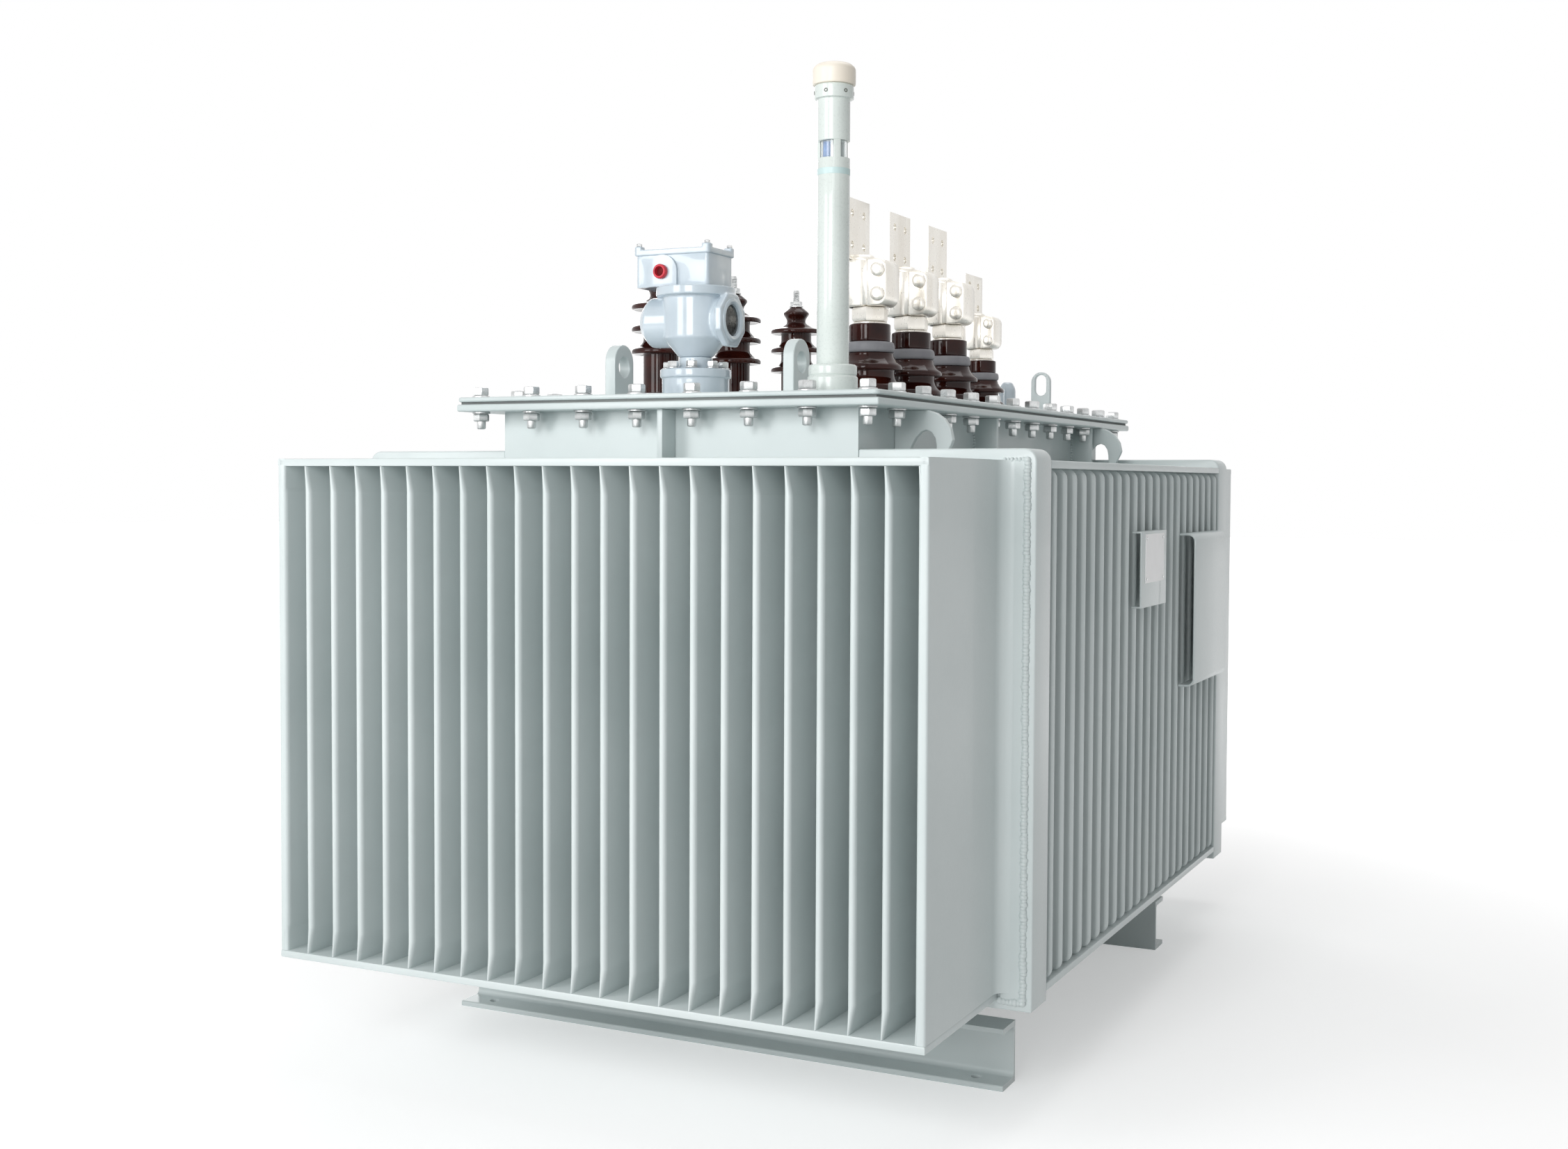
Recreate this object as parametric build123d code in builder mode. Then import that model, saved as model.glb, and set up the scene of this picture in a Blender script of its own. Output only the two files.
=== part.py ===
from build123d import *
import os

# Oil filled power transformer with four corrugated cooling walls.
# Millimetres. Origin on the ground under the middle of the tank, +X to the right of the front
# end, +Y towards the rear end, +Z up.

# Base channels
channel_height = 100.0
channel_length = 1044.0
channel_width = 60.0
channel_web = 6.0
channel_flange = 9.0
channel_root_radius = 8.0
channel_toe_radius = 3.0
channel_wall_distance = 199.0
base_hole_radius = 9.0
base_hole_end_distance = 54.0
base_hole_back_distance = 32.0

# Tank
tank_width = 654.0
tank_length = 1302.0
wall_thickness = 6.0
floor_thickness = 10.0
floor_overhang = 12.0
tank_skirt = 80.0
neck_height = 82.0
flange_overhang = 58.0
flange_thickness = 12.0
gasket_thickness = 4.0
gasket_setback = 6.0
lid_thickness = 8.0
lid_corner_radius = 10.0

# Cooling walls
fin_thickness = 12.0
fin_end_thickness = 7.0
fin_press_height = 32.0
fin_tip_chamfer = 3.0
fin_height = 784.0
end_fin_pitch = 50.0
end_fin_depth = 298.0
end_fin_margin = 45.0
side_fin_pitch = 52.5
side_fin_depth = 286.0
side_fin_margin = 15.0
bank_plate = 12.0
bank_plate_overhang = 4.0
header_depth = 74.0
header_rise = 17.0
header_drop = 15.0
header_corner_radius = 20.0

# Neck ribs and lifting gear
rib_thickness = 10.0
rib_depth = 44.0
front_rib_wall_distance = 523.0
rear_rib_wall_distance = 180.0
hook_wall_distance = 151.0
hook_thickness = 12.0
hook_reach = 100.0
hook_drop = 78.0
hook_tip_width = 20.0
hook_arch_drop = 32.0
hook_mouth_width = 38.0
front_lug_thickness = 20.0
front_lug_length = 62.0
front_lug_height = 93.0
front_lug_hole_radius = 17.0
front_lug_hole_height = 55.0
rear_lug_thickness = 10.0
rear_lug_length = 44.0
rear_lug_height = 106.0
rear_slot_width = 25.0
rear_slot_bottom = 54.0
rear_slot_rim = 6.0
front_lug_spacing = 336.0
front_lug_wall_distance = 111.0
rear_lug_spacing = 410.0
rear_lug_wall_distance = 11.0

# High voltage bushings
hv_wall_distance = 97.0
hv_pitch = 290.0
hv_foot_radius = 44.0
hv_foot_height = 14.0
hv_body_radius = 32.0
hv_shed_radius = 51.0
hv_shed_count = 3
hv_first_shed_height = 100.0
hv_shed_pitch = 37.0
hv_shed_rise = 22.0
hv_shed_lip = 10.0
hv_lip_chamfer = 3.5
hv_neck_radius = 20.0
hv_neck_height = 208.0
hv_cap_radius = 29.0
hv_cap_height = 26.0
hv_cap_top_radius = 16.0
hv_cap_chamfer = 5.0
hv_stud_radius = 7.0
hv_stud_length = 36.0
hv_ring_width = 16.0
hv_ring_height = 8.0
hv_ring_clearance = 1.0

# Low voltage bushings
lv_wall_distance = 137.0
lv_pitch = 193.0
lv_base_radius = 44.0
lv_bell_height = 86.0
lv_bell_top_radius = 42.0
lv_shed_radius = 58.0
lv_shed_count = 2
lv_first_shed_height = 18.0
lv_shed_pitch = 36.0
lv_shed_rise = 26.0
lv_shed_lip = 9.0
lv_lip_chamfer = 3.5
lv_gasket_radius = 46.0
lv_gasket_height = 19.0
lv_collar_radius = 35.0
lv_collar_height = 31.0
lv_nut_radius = 33.0
lv_nut_height = 30.0
lv_clamp_width = 88.0
lv_clamp_depth = 60.0
lv_clamp_height = 82.0
lv_clamp_radius = 18.0
lv_palm_width = 100.0
lv_palm_height = 106.0
lv_palm_thickness = 10.0
lv_palm_offset = 28.0
lv_palm_hole_radius = 6.5
lv_palm_hole_pitch_y = 50.0
lv_palm_hole_pitch_z = 55.0
neutral_ratio = 0.8

# Gas relay
relay_x = -8.0
relay_wall_distance = 91.0
relay_ring_radius = 56.0
relay_ring_height = 31.0
relay_flange_radius = 59.0
relay_flange_height = 15.0
relay_pipe_radius = 28.0
relay_pipe_height = 20.0
relay_cone_height = 31.0
relay_column_radius = 54.0
relay_column_height = 69.0
relay_barrel_height = 59.5
relay_barrel_radius = 42.0
relay_stub_radius = 33.0
relay_barrel_left = 92.0
relay_barrel_right = 70.0
relay_barrel_round = 14.0
relay_window_radius = 47.0
relay_window_sides = 8
relay_window_thickness = 12.0
relay_window_flare = 14.0
relay_collar_radius = 66.0
relay_collar_height = 15.0
relay_glass_radius = 28.0
relay_glass_thickness = 3.0
relay_glass_recess = 8.0
relay_glass_clearance = 0.4
relay_box_width = 136.0
relay_box_depth = 86.0
relay_box_height = 52.0
relay_box_shift = 22.0
relay_box_radius = 6.0
relay_pad_radius = 28.0
relay_pad_rise = 6.0
relay_pad_place = -16.0
relay_pad_height = 24.0
relay_box_lid = 10.0
relay_box_lid_overhang = 3.0
relay_lid_boss = 14.0
relay_lid_boss_rise = 6.0
plug_radius = 12.0
plug_bore_radius = 7.5
plug_length = 9.0
plug_bore_depth = 7.0

# Oil level gauge
gauge_wall_distance = 67.0
gauge_end_distance = 51.0
gauge_ring_radius = 40.0
gauge_ring_height = 28.0
gauge_flange_radius = 38.5
gauge_flange_height = 17.0
gauge_tube_radius = 25.5
gauge_tube_length = 322.0
gauge_glass_radius = 21.0
gauge_glass_height = 27.0
gauge_bar_count = 3
gauge_bar_width = 11.0
gauge_bar_turn = -53.0
gauge_bar_clearance = 0.3
gauge_head_height = 65.0
gauge_collar_radius = 31.0
gauge_collar_height = 22.0
gauge_cap_radius = 34.0
gauge_cap_height = 34.5
gauge_cap_round = 9.0

# Fittings on the right cooling wall
holder_place_y = -22.0
holder_bottom = 746.0
holder_width = 176.0
holder_height = 134.0
holder_sheet = 3.0
holder_standoff = 14.0
plate_width = 128.0
plate_height = 86.0
plate_thickness = 1.5
plate_top_margin = 5.0
bracket_wall_distance = 275.0
bracket_bottom = 578.0
bracket_width = 275.0
bracket_height = 287.0
bracket_sheet = 4.0
bracket_standoff = 28.0
bracket_bend_radius = 12.0

# Levels and places worked out from the sizes above
wall_bottom = channel_height + floor_thickness
bank_bottom = wall_bottom + tank_skirt
fin_bottom = bank_bottom + bank_plate
fin_top = fin_bottom + fin_height
bank_top = fin_top + bank_plate
flange_bottom = bank_top + neck_height
gasket_bottom = flange_bottom + flange_thickness
lid_bottom = gasket_bottom + gasket_thickness
lid_top = lid_bottom + lid_thickness
flange_width = tank_width + 2 * flange_overhang
flange_length = tank_length + 2 * flange_overhang
inner_width = tank_width - 2 * wall_thickness
inner_length = tank_length - 2 * wall_thickness
half_width = tank_width / 2
half_length = tank_length / 2
side_tip_x = half_width + side_fin_depth
side_bank_length = tank_length - 2 * header_depth
side_fin_count = 1 + int((side_bank_length - fin_thickness - 2 * side_fin_margin) // side_fin_pitch)
end_fin_count = 1 + int((2 * side_tip_x - fin_thickness - 2 * end_fin_margin) // end_fin_pitch)
end_bank_width = (end_fin_count - 1) * end_fin_pitch + fin_thickness + 2 * bank_plate_overhang
hv_row_x = hv_wall_distance - half_width
lv_row_x = half_width - lv_wall_distance
gauge_x = half_width - gauge_wall_distance
gauge_y = gauge_end_distance - half_length
relay_y = relay_wall_distance - half_length
channel_back_spacing = tank_length - 2 * channel_wall_distance
side_rib_places = (front_rib_wall_distance - half_length, half_length - rear_rib_wall_distance)
hook_place = half_length - hook_wall_distance
front_lug_place = front_lug_wall_distance - half_length
rear_lug_place = half_length - rear_lug_wall_distance
bracket_place_y = half_length - bracket_wall_distance
STAND = (Align.CENTER, Align.CENTER, Align.MIN)

os.makedirs("parts", exist_ok=True)


def save(piece, name):
    """Label a finished piece and write its STEP file."""
    piece.label = name
    export_step(piece, f"parts/{name}.step")


def upright_plane(x, y, z):
    """Vertical plane facing the front, with its origin at a point: local x is X, local y is Z."""
    return Plane(origin=(x, y, z), x_dir=(1, 0, 0), z_dir=(0, -1, 0))


# Base channels: webs inward, flanges outward, two bolt holes in each lower flange
for name, side in (("front_base_channel", -1), ("rear_base_channel", 1)):
    back_y = side * channel_back_spacing / 2
    with BuildPart() as channel:
        section = Plane(origin=(-channel_length / 2, back_y, 0), x_dir=(0, side, 0), z_dir=(side, 0, 0))
        with BuildSketch(section):
            with BuildLine():
                Polyline(
                    (0, 0),
                    (channel_width, 0),
                    (channel_width, channel_flange),
                    (channel_web, channel_flange),
                    (channel_web, channel_height - channel_flange),
                    (channel_width, channel_height - channel_flange),
                    (channel_width, channel_height),
                    (0, channel_height),
                    close=True,
                )
            make_face()
        extrude(amount=side * channel_length)
        long_edges = channel.edges().filter_by(Axis.X)
        roots = long_edges.filter_by(lambda e: abs(abs(e.center().Y - back_y) - channel_web) < 0.01)
        fillet(roots, radius=channel_root_radius)
        long_edges = channel.edges().filter_by(Axis.X)
        toes = long_edges.filter_by(lambda e: abs(abs(e.center().Y - back_y) - channel_width) < 0.01)
        inner_toes = toes.filter_by(lambda e: 0.01 < e.center().Z < channel_height - 0.01)
        fillet(inner_toes, radius=channel_toe_radius)
        hole_x = channel_length / 2 - base_hole_end_distance
        hole_y = back_y + side * base_hole_back_distance
        with Locations((-hole_x, hole_y, channel_flange), (hole_x, hole_y, channel_flange)):
            Hole(radius=base_hole_radius, depth=channel_flange)
    save(channel.part, name)

# Tank floor on the channels
with BuildPart() as tank_floor:
    with Locations((0, 0, channel_height)):
        Box(tank_width + 2 * floor_overhang, tank_length + 2 * floor_overhang, floor_thickness, align=STAND)
save(tank_floor.part, "tank_floor")

# Tank walls: the end walls cover the ends of the side walls
wall_height = flange_bottom - wall_bottom
for name, side in (("front_wall", -1), ("rear_wall", 1)):
    with BuildPart() as end_wall:
        with Locations((0, side * (half_length - wall_thickness / 2), wall_bottom)):
            Box(tank_width, wall_thickness, wall_height, align=STAND)
    save(end_wall.part, name)
for name, side in (("left_wall", -1), ("right_wall", 1)):
    with BuildPart() as side_wall:
        with Locations((side * (half_width - wall_thickness / 2), 0, wall_bottom)):
            Box(wall_thickness, inner_length, wall_height, align=STAND)
    save(side_wall.part, name)

# Headers: the box ends of the side cooling walls, flush with the tank's end walls
header_bottom = bank_bottom - header_drop
header_height = bank_top + header_rise - header_bottom
for name, side in (("front_headers", -1), ("rear_headers", 1)):
    with BuildPart() as headers:
        header_y = side * (half_length - header_depth / 2)
        header_x = half_width + side_fin_depth / 2
        with Locations((-header_x, header_y, header_bottom), (header_x, header_y, header_bottom)):
            Box(side_fin_depth, header_depth, header_height, align=STAND)
        top_edges = headers.edges().filter_by(Axis.Y).group_by(Axis.Z)[-1]
        outer_edges = top_edges.filter_by(lambda e: abs(e.center().X) > header_x)
        fillet(outer_edges, radius=header_corner_radius)
    save(headers.part, name)


def make_fin(depth):
    """One cooling fin, root on the plane y = 0 and tip towards -Y, its ends pressed thin.

    Args:
        depth: distance from the root to the tip.

    Returns:
        The fin as a part centred on x = 0, standing from fin_bottom to fin_top.
    """
    half = fin_thickness / 2
    half_end = fin_end_thickness / 2
    with BuildPart() as fin:
        with BuildSketch(upright_plane(0, 0, 0)):
            with BuildLine():
                Polyline(
                    (-half_end, fin_bottom),
                    (half_end, fin_bottom),
                    (half, fin_bottom + fin_press_height),
                    (half, fin_top - fin_press_height),
                    (half_end, fin_top),
                    (-half_end, fin_top),
                    (-half, fin_top - fin_press_height),
                    (-half, fin_bottom + fin_press_height),
                    close=True,
                )
            make_face()
        extrude(amount=depth)
        tip = fin.faces().sort_by(Axis.Y)[0]
        chamfer(tip.edges().filter_by(Axis.X, reverse=True), length=fin_tip_chamfer)
    return fin.part


end_fin = make_fin(end_fin_depth)
side_fin = make_fin(side_fin_depth)
end_places = [(i - (end_fin_count - 1) / 2) * end_fin_pitch for i in range(end_fin_count)]
side_places = [(i - (side_fin_count - 1) / 2) * side_fin_pitch for i in range(side_fin_count)]

# Four banks of fins, each fin seated on the tank wall or on a header
for name, turn, side in (("front_fins", 0, -1), ("rear_fins", 180, 1)):
    with BuildPart() as end_bank:
        with Locations(*[Location((x, side * half_length, 0), (0, 0, turn)) for x in end_places]):
            add(end_fin)
    save(end_bank.part, name)
for name, turn, side in (("right_fins", 90, 1), ("left_fins", -90, -1)):
    with BuildPart() as side_bank:
        with Locations(*[Location((side * half_width, y, 0), (0, 0, turn)) for y in side_places]):
            add(side_fin)
    save(side_bank.part, name)

# Plates that close the fin banks at the top and the bottom
for name, level in (("fin_top_plates", fin_top), ("fin_bottom_plates", bank_bottom)):
    with BuildPart() as bank_plates:
        end_y = half_length + end_fin_depth / 2
        with Locations((0, -end_y, level), (0, end_y, level)):
            Box(end_bank_width, end_fin_depth, bank_plate, align=STAND)
        side_x = half_width + side_fin_depth / 2
        with Locations((-side_x, 0, level), (side_x, 0, level)):
            Box(side_fin_depth, side_bank_length, bank_plate, align=STAND)
    save(bank_plates.part, name)

# Flange round the mouth of the tank, gasket and lid
with BuildPart() as tank_flange:
    with BuildSketch(Plane.XY.offset(flange_bottom)):
        Rectangle(flange_width, flange_length)
        Rectangle(inner_width, inner_length, mode=Mode.SUBTRACT)
    extrude(amount=flange_thickness)
save(tank_flange.part, "tank_flange")

with BuildPart() as lid_gasket:
    with BuildSketch(Plane.XY.offset(gasket_bottom)):
        Rectangle(flange_width - 2 * gasket_setback, flange_length - 2 * gasket_setback)
        Rectangle(inner_width, inner_length, mode=Mode.SUBTRACT)
    extrude(amount=gasket_thickness)
save(lid_gasket.part, "lid_gasket")

with BuildPart() as lid:
    with BuildSketch(Plane.XY.offset(lid_bottom)):
        RectangleRounded(flange_width, flange_length, lid_corner_radius)
    extrude(amount=lid_thickness)
save(lid.part, "lid")

# Ribs between the cooling walls and the flange
with BuildPart() as neck_ribs:
    rib_y = half_length + rib_depth / 2
    with Locations((0, -rib_y, bank_top), (0, rib_y, bank_top)):
        Box(rib_thickness, rib_depth, neck_height, align=STAND)
    rib_x = half_width + rib_depth / 2
    for y in side_rib_places:
        with Locations((-rib_x, y, bank_top), (rib_x, y, bank_top)):
            Box(rib_depth, rib_thickness, neck_height, align=STAND)
save(neck_ribs.part, "neck_ribs")

# Lifting hooks on the side walls, open downwards
hook_mouth_out = hook_reach - hook_tip_width
hook_mouth_in = hook_mouth_out - hook_mouth_width
hook_arch_side = hook_drop - hook_tip_width
with BuildPart() as right_hook:
    hook_plane = upright_plane(half_width, hook_thickness / 2, flange_bottom)
    with BuildSketch(hook_plane):
        with BuildLine():
            top = Line((0, 0), (hook_reach / 2, 0))
            outer = JernArc(start=top @ 1, tangent=(1, 0), radius=hook_reach / 2, arc_size=-90)
            Line(outer @ 1, (hook_reach, -hook_drop + hook_tip_width / 2))
            tip_mid = (hook_reach - hook_tip_width / 2, -hook_drop)
            ThreePointArc(
                (hook_reach, -hook_drop + hook_tip_width / 2),
                tip_mid,
                (hook_mouth_out, -hook_drop + hook_tip_width / 2),
            )
            Line((hook_mouth_out, -hook_drop + hook_tip_width / 2), (hook_mouth_out, -hook_arch_side))
            ThreePointArc(
                (hook_mouth_out, -hook_arch_side),
                ((hook_mouth_out + hook_mouth_in) / 2, -hook_arch_drop),
                (hook_mouth_in, -hook_arch_side),
            )
            Line((hook_mouth_in, -hook_arch_side), (hook_mouth_in / 2, -hook_drop))
            Polyline((hook_mouth_in / 2, -hook_drop), (0, -hook_drop), (0, 0))
        make_face()
    extrude(amount=hook_thickness)

with BuildPart() as lifting_hooks:
    with Locations((0, -hook_place, 0), (0, hook_place, 0)):
        add(right_hook.part)
    mirror(about=Plane.YZ)
save(lifting_hooks.part, "lifting_hooks")

# Lifting lugs on the lid: front plates with a round hole, slotted rear plates standing across the lid
rear_slot_height = rear_lug_height - rear_slot_rim - rear_slot_bottom
with BuildPart() as lid_lifting_lugs:
    with BuildSketch(Plane.YZ.offset((front_lug_spacing - front_lug_thickness) / 2)):
        with Locations((front_lug_place, lid_top)):
            straight = front_lug_height - front_lug_length / 2
            Rectangle(front_lug_length, straight, align=(Align.CENTER, Align.MIN))
            with Locations((0, straight)):
                Circle(front_lug_length / 2)
            with Locations((0, front_lug_hole_height)):
                Circle(front_lug_hole_radius, mode=Mode.SUBTRACT)
    extrude(amount=front_lug_thickness)
    with BuildSketch(upright_plane(rear_lug_spacing / 2, rear_lug_place + rear_lug_thickness / 2, lid_top)):
        straight = rear_lug_height - rear_lug_length / 2
        Rectangle(rear_lug_length, straight, align=(Align.CENTER, Align.MIN))
        with Locations((0, straight)):
            Circle(rear_lug_length / 2)
        with Locations((0, rear_slot_bottom + rear_slot_height / 2)):
            SlotOverall(rear_slot_height, rear_slot_width, rotation=90, mode=Mode.SUBTRACT)
    extrude(amount=rear_lug_thickness)
    mirror(about=Plane.YZ)
save(lid_lifting_lugs.part, "lid_lifting_lugs")

# High voltage bushings: porcelain with sheds, clamped at the foot, a stud on top
hv_places = [(hv_row_x, (i - 1) * hv_pitch) for i in range(3)]
hv_top = hv_neck_height + hv_cap_height
for letter, (x, y) in zip("abc", hv_places):
    with BuildPart() as hv_bushing:
        with BuildSketch(upright_plane(x, y, lid_top)) as hv_profile:
            with BuildLine():
                outline = [(0, 0), (hv_foot_radius, 0), (hv_foot_radius, hv_foot_height)]
                outline.append((hv_body_radius, hv_foot_height))
                for i in range(hv_shed_count):
                    shed_bottom = hv_first_shed_height + i * hv_shed_pitch
                    outline.append((hv_body_radius, shed_bottom))
                    outline.append((hv_shed_radius, shed_bottom))
                    outline.append((hv_shed_radius, shed_bottom + hv_shed_lip))
                    last = i == hv_shed_count - 1
                    outline.append((hv_neck_radius if last else hv_body_radius, shed_bottom + hv_shed_rise))
                outline.append((hv_neck_radius, hv_neck_height))
                outline.append((hv_cap_radius, hv_neck_height + hv_cap_height / 2))
                outline.append((hv_cap_top_radius, hv_top))
                outline.append((0, hv_top))
                Polyline(*outline, close=True)
            make_face()
            lips = hv_profile.vertices().filter_by(lambda v: abs(v.X - hv_shed_radius) < 0.01)
            chamfer(lips, length=hv_lip_chamfer)
            cap_edge = hv_profile.vertices().filter_by(lambda v: abs(v.X - hv_cap_radius) < 0.01)
            chamfer(cap_edge, length=hv_cap_chamfer)
        revolve(axis=Axis((x, y, 0), (0, 0, 1)))
    save(hv_bushing.part, f"hv_bushing_{letter}")

with BuildPart() as hv_clamp_rings:
    with BuildSketch(Plane.XY.offset(lid_top + hv_foot_height)):
        with Locations(*hv_places):
            Circle(hv_body_radius + hv_ring_clearance + hv_ring_width)
            Circle(hv_body_radius + hv_ring_clearance, mode=Mode.SUBTRACT)
    extrude(amount=hv_ring_height)
save(hv_clamp_rings.part, "hv_clamp_rings")

with BuildPart() as hv_studs:
    with BuildSketch(Plane.XY.offset(lid_top + hv_top)):
        with Locations(*hv_places):
            Circle(hv_stud_radius)
    extrude(amount=hv_stud_length)
save(hv_studs.part, "hv_studs")

# Low voltage bushings: a bell with two sheds, a gasket, a collar above, then nut, clamp and palm
lv_letters = "abcn"
lv_places = [(lv_row_x, (i - 1.5) * lv_pitch) for i in range(len(lv_letters))]
lv_ratios = [neutral_ratio if letter == "n" else 1.0 for letter in lv_letters]
for letter, (x, y), ratio in zip(lv_letters, lv_places, lv_ratios):
    with BuildPart() as lv_bushing:
        collar_bottom = (lv_bell_height + lv_gasket_height) * ratio
        with BuildSketch(upright_plane(x, y, lid_top)) as lv_profile:
            with BuildLine():
                outline = [(0, 0), (lv_base_radius, 0)]
                for i in range(lv_shed_count):
                    shed_bottom = lv_first_shed_height + i * lv_shed_pitch
                    outline.append((lv_base_radius, shed_bottom))
                    outline.append((lv_shed_radius, shed_bottom))
                    outline.append((lv_shed_radius, shed_bottom + lv_shed_lip))
                    last = i == lv_shed_count - 1
                    above = lv_bell_top_radius if last else lv_base_radius
                    outline.append((above, shed_bottom + lv_shed_rise))
                outline.append((lv_bell_top_radius, lv_bell_height))
                outline.append((0, lv_bell_height))
                Polyline(*[(r * ratio, z * ratio) for r, z in outline], close=True)
            make_face()
            lips = lv_profile.vertices().filter_by(lambda v: abs(v.X - lv_shed_radius * ratio) < 0.01)
            chamfer(lips, length=lv_lip_chamfer * ratio)
            with Locations((0, collar_bottom)):
                Rectangle(lv_collar_radius * ratio, lv_collar_height * ratio, align=(Align.MIN, Align.MIN))
        revolve(axis=Axis((x, y, 0), (0, 0, 1)))
    save(lv_bushing.part, f"lv_bushing_{letter}")

with BuildPart() as lv_gaskets:
    for (x, y), ratio in zip(lv_places, lv_ratios):
        with Locations((x, y, lid_top + lv_bell_height * ratio)):
            Cylinder(lv_gasket_radius * ratio, lv_gasket_height * ratio, align=STAND)
save(lv_gaskets.part, "lv_gaskets")

lv_nut_bottom = lv_bell_height + lv_gasket_height + lv_collar_height
lv_clamp_bottom = lv_nut_bottom + lv_nut_height
lv_palm_bottom = lv_clamp_bottom + lv_clamp_height

with BuildPart() as lv_nuts:
    for (x, y), ratio in zip(lv_places, lv_ratios):
        with BuildSketch(Plane.XY.offset(lid_top + lv_nut_bottom * ratio)):
            with Locations((x, y)):
                RegularPolygon(lv_nut_radius * ratio, 6)
        extrude(amount=lv_nut_height * ratio)
save(lv_nuts.part, "lv_nuts")

with BuildPart() as lv_clamps:
    for (x, y), ratio in zip(lv_places, lv_ratios):
        clamp_middle = lid_top + (lv_clamp_bottom + lv_clamp_height / 2) * ratio
        with BuildSketch(upright_plane(x, y + lv_clamp_depth * ratio / 2, clamp_middle)):
            RectangleRounded(lv_clamp_width * ratio, lv_clamp_height * ratio, lv_clamp_radius * ratio)
        extrude(amount=lv_clamp_depth * ratio)
save(lv_clamps.part, "lv_clamps")

with BuildPart() as lv_palms:
    for (x, y), ratio in zip(lv_places, lv_ratios):
        palm_plane = Plane.YZ.offset(x - lv_palm_offset * ratio - lv_palm_thickness / 2)
        palm_middle = lid_top + lv_palm_bottom * ratio + lv_palm_height * ratio / 2
        with BuildSketch(palm_plane):
            with Locations((y, palm_middle)):
                Rectangle(lv_palm_width, lv_palm_height * ratio)
                with GridLocations(lv_palm_hole_pitch_y, lv_palm_hole_pitch_z * ratio, 2, 2):
                    Circle(lv_palm_hole_radius, mode=Mode.SUBTRACT)
        extrude(amount=lv_palm_thickness)
save(lv_palms.part, "lv_palms")

# Gas relay: riser, upright body with a round end and a window flange, sight glass and terminal box
relay_flange_bottom = lid_top + relay_ring_height
relay_pipe_bottom = relay_flange_bottom + relay_flange_height
relay_body_bottom = relay_pipe_bottom + relay_pipe_height
relay_column_bottom = relay_body_bottom + relay_cone_height
relay_collar_bottom = relay_column_bottom + relay_column_height
relay_box_bottom = relay_collar_bottom + relay_collar_height
relay_lid_bottom = relay_box_bottom + relay_box_height
barrel_z = relay_body_bottom + relay_barrel_height

with BuildPart() as relay_riser:
    with Locations((relay_x, relay_y, lid_top)):
        Cylinder(relay_ring_radius, relay_ring_height, align=STAND)
    with Locations((relay_x, relay_y, relay_flange_bottom)):
        Cylinder(relay_flange_radius, relay_flange_height, align=STAND)
    with Locations((relay_x, relay_y, relay_pipe_bottom)):
        Cylinder(relay_pipe_radius, relay_pipe_height, align=STAND)
save(relay_riser.part, "relay_riser")

with BuildPart() as relay_body:
    window_x = relay_barrel_right - relay_window_thickness
    with BuildSketch(upright_plane(relay_x, relay_y, barrel_z)):
        with BuildLine():
            Polyline(
                (-relay_barrel_left, 0),
                (-relay_barrel_left, relay_barrel_radius - relay_barrel_round),
                (-relay_barrel_left + relay_barrel_round, relay_barrel_radius),
                (0, relay_barrel_radius),
                (0, relay_stub_radius),
                (window_x - relay_window_flare, relay_stub_radius),
                (window_x, relay_barrel_radius),
                (window_x, 0),
                close=True,
            )
        make_face()
    revolve(axis=Axis((relay_x, relay_y, barrel_z), (1, 0, 0)))
    with BuildSketch(Plane.YZ.offset(relay_x + window_x)):
        with Locations((relay_y, barrel_z)):
            RegularPolygon(relay_window_radius, relay_window_sides, rotation=180 / relay_window_sides)
    extrude(amount=relay_window_thickness)
    with Locations((relay_x, relay_y, relay_body_bottom)):
        Cone(relay_pipe_radius, relay_column_radius, relay_cone_height, align=STAND)
    with Locations((relay_x, relay_y, relay_column_bottom)):
        Cylinder(relay_column_radius, relay_column_height, align=STAND)
    with Locations((relay_x, relay_y, relay_collar_bottom)):
        Cylinder(relay_collar_radius, relay_collar_height, align=STAND)
    with BuildSketch(Plane.YZ.offset(relay_x + relay_barrel_right)):
        with Locations((relay_y, barrel_z)):
            Circle(relay_glass_radius + relay_glass_clearance)
    extrude(amount=-relay_glass_recess, mode=Mode.SUBTRACT)
save(relay_body.part, "relay_body")

with BuildPart() as relay_sight_glass:
    with BuildSketch(Plane.YZ.offset(relay_x + relay_barrel_right - relay_glass_recess)):
        with Locations((relay_y, barrel_z)):
            Circle(relay_glass_radius)
    extrude(amount=relay_glass_thickness)
save(relay_sight_glass.part, "relay_sight_glass")

box_x = relay_x - relay_box_shift
box_front_y = relay_y - relay_box_depth / 2
with BuildPart() as relay_terminal_box:
    with Locations((box_x, relay_y, relay_box_bottom)):
        Box(relay_box_width, relay_box_depth, relay_box_height, align=STAND)
    fillet(relay_terminal_box.edges().filter_by(Axis.Z), radius=relay_box_radius)
    with BuildSketch(upright_plane(box_x + relay_pad_place, box_front_y, relay_box_bottom)):
        Rectangle(2 * relay_pad_radius, relay_pad_height, align=(Align.CENTER, Align.MIN))
        with Locations((0, relay_pad_height)):
            Circle(relay_pad_radius)
        below = (Align.CENTER, Align.MAX)
        Rectangle(2 * relay_pad_radius, relay_pad_height, align=below, mode=Mode.SUBTRACT)
    extrude(amount=relay_pad_rise)
save(relay_terminal_box.part, "relay_terminal_box")

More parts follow.
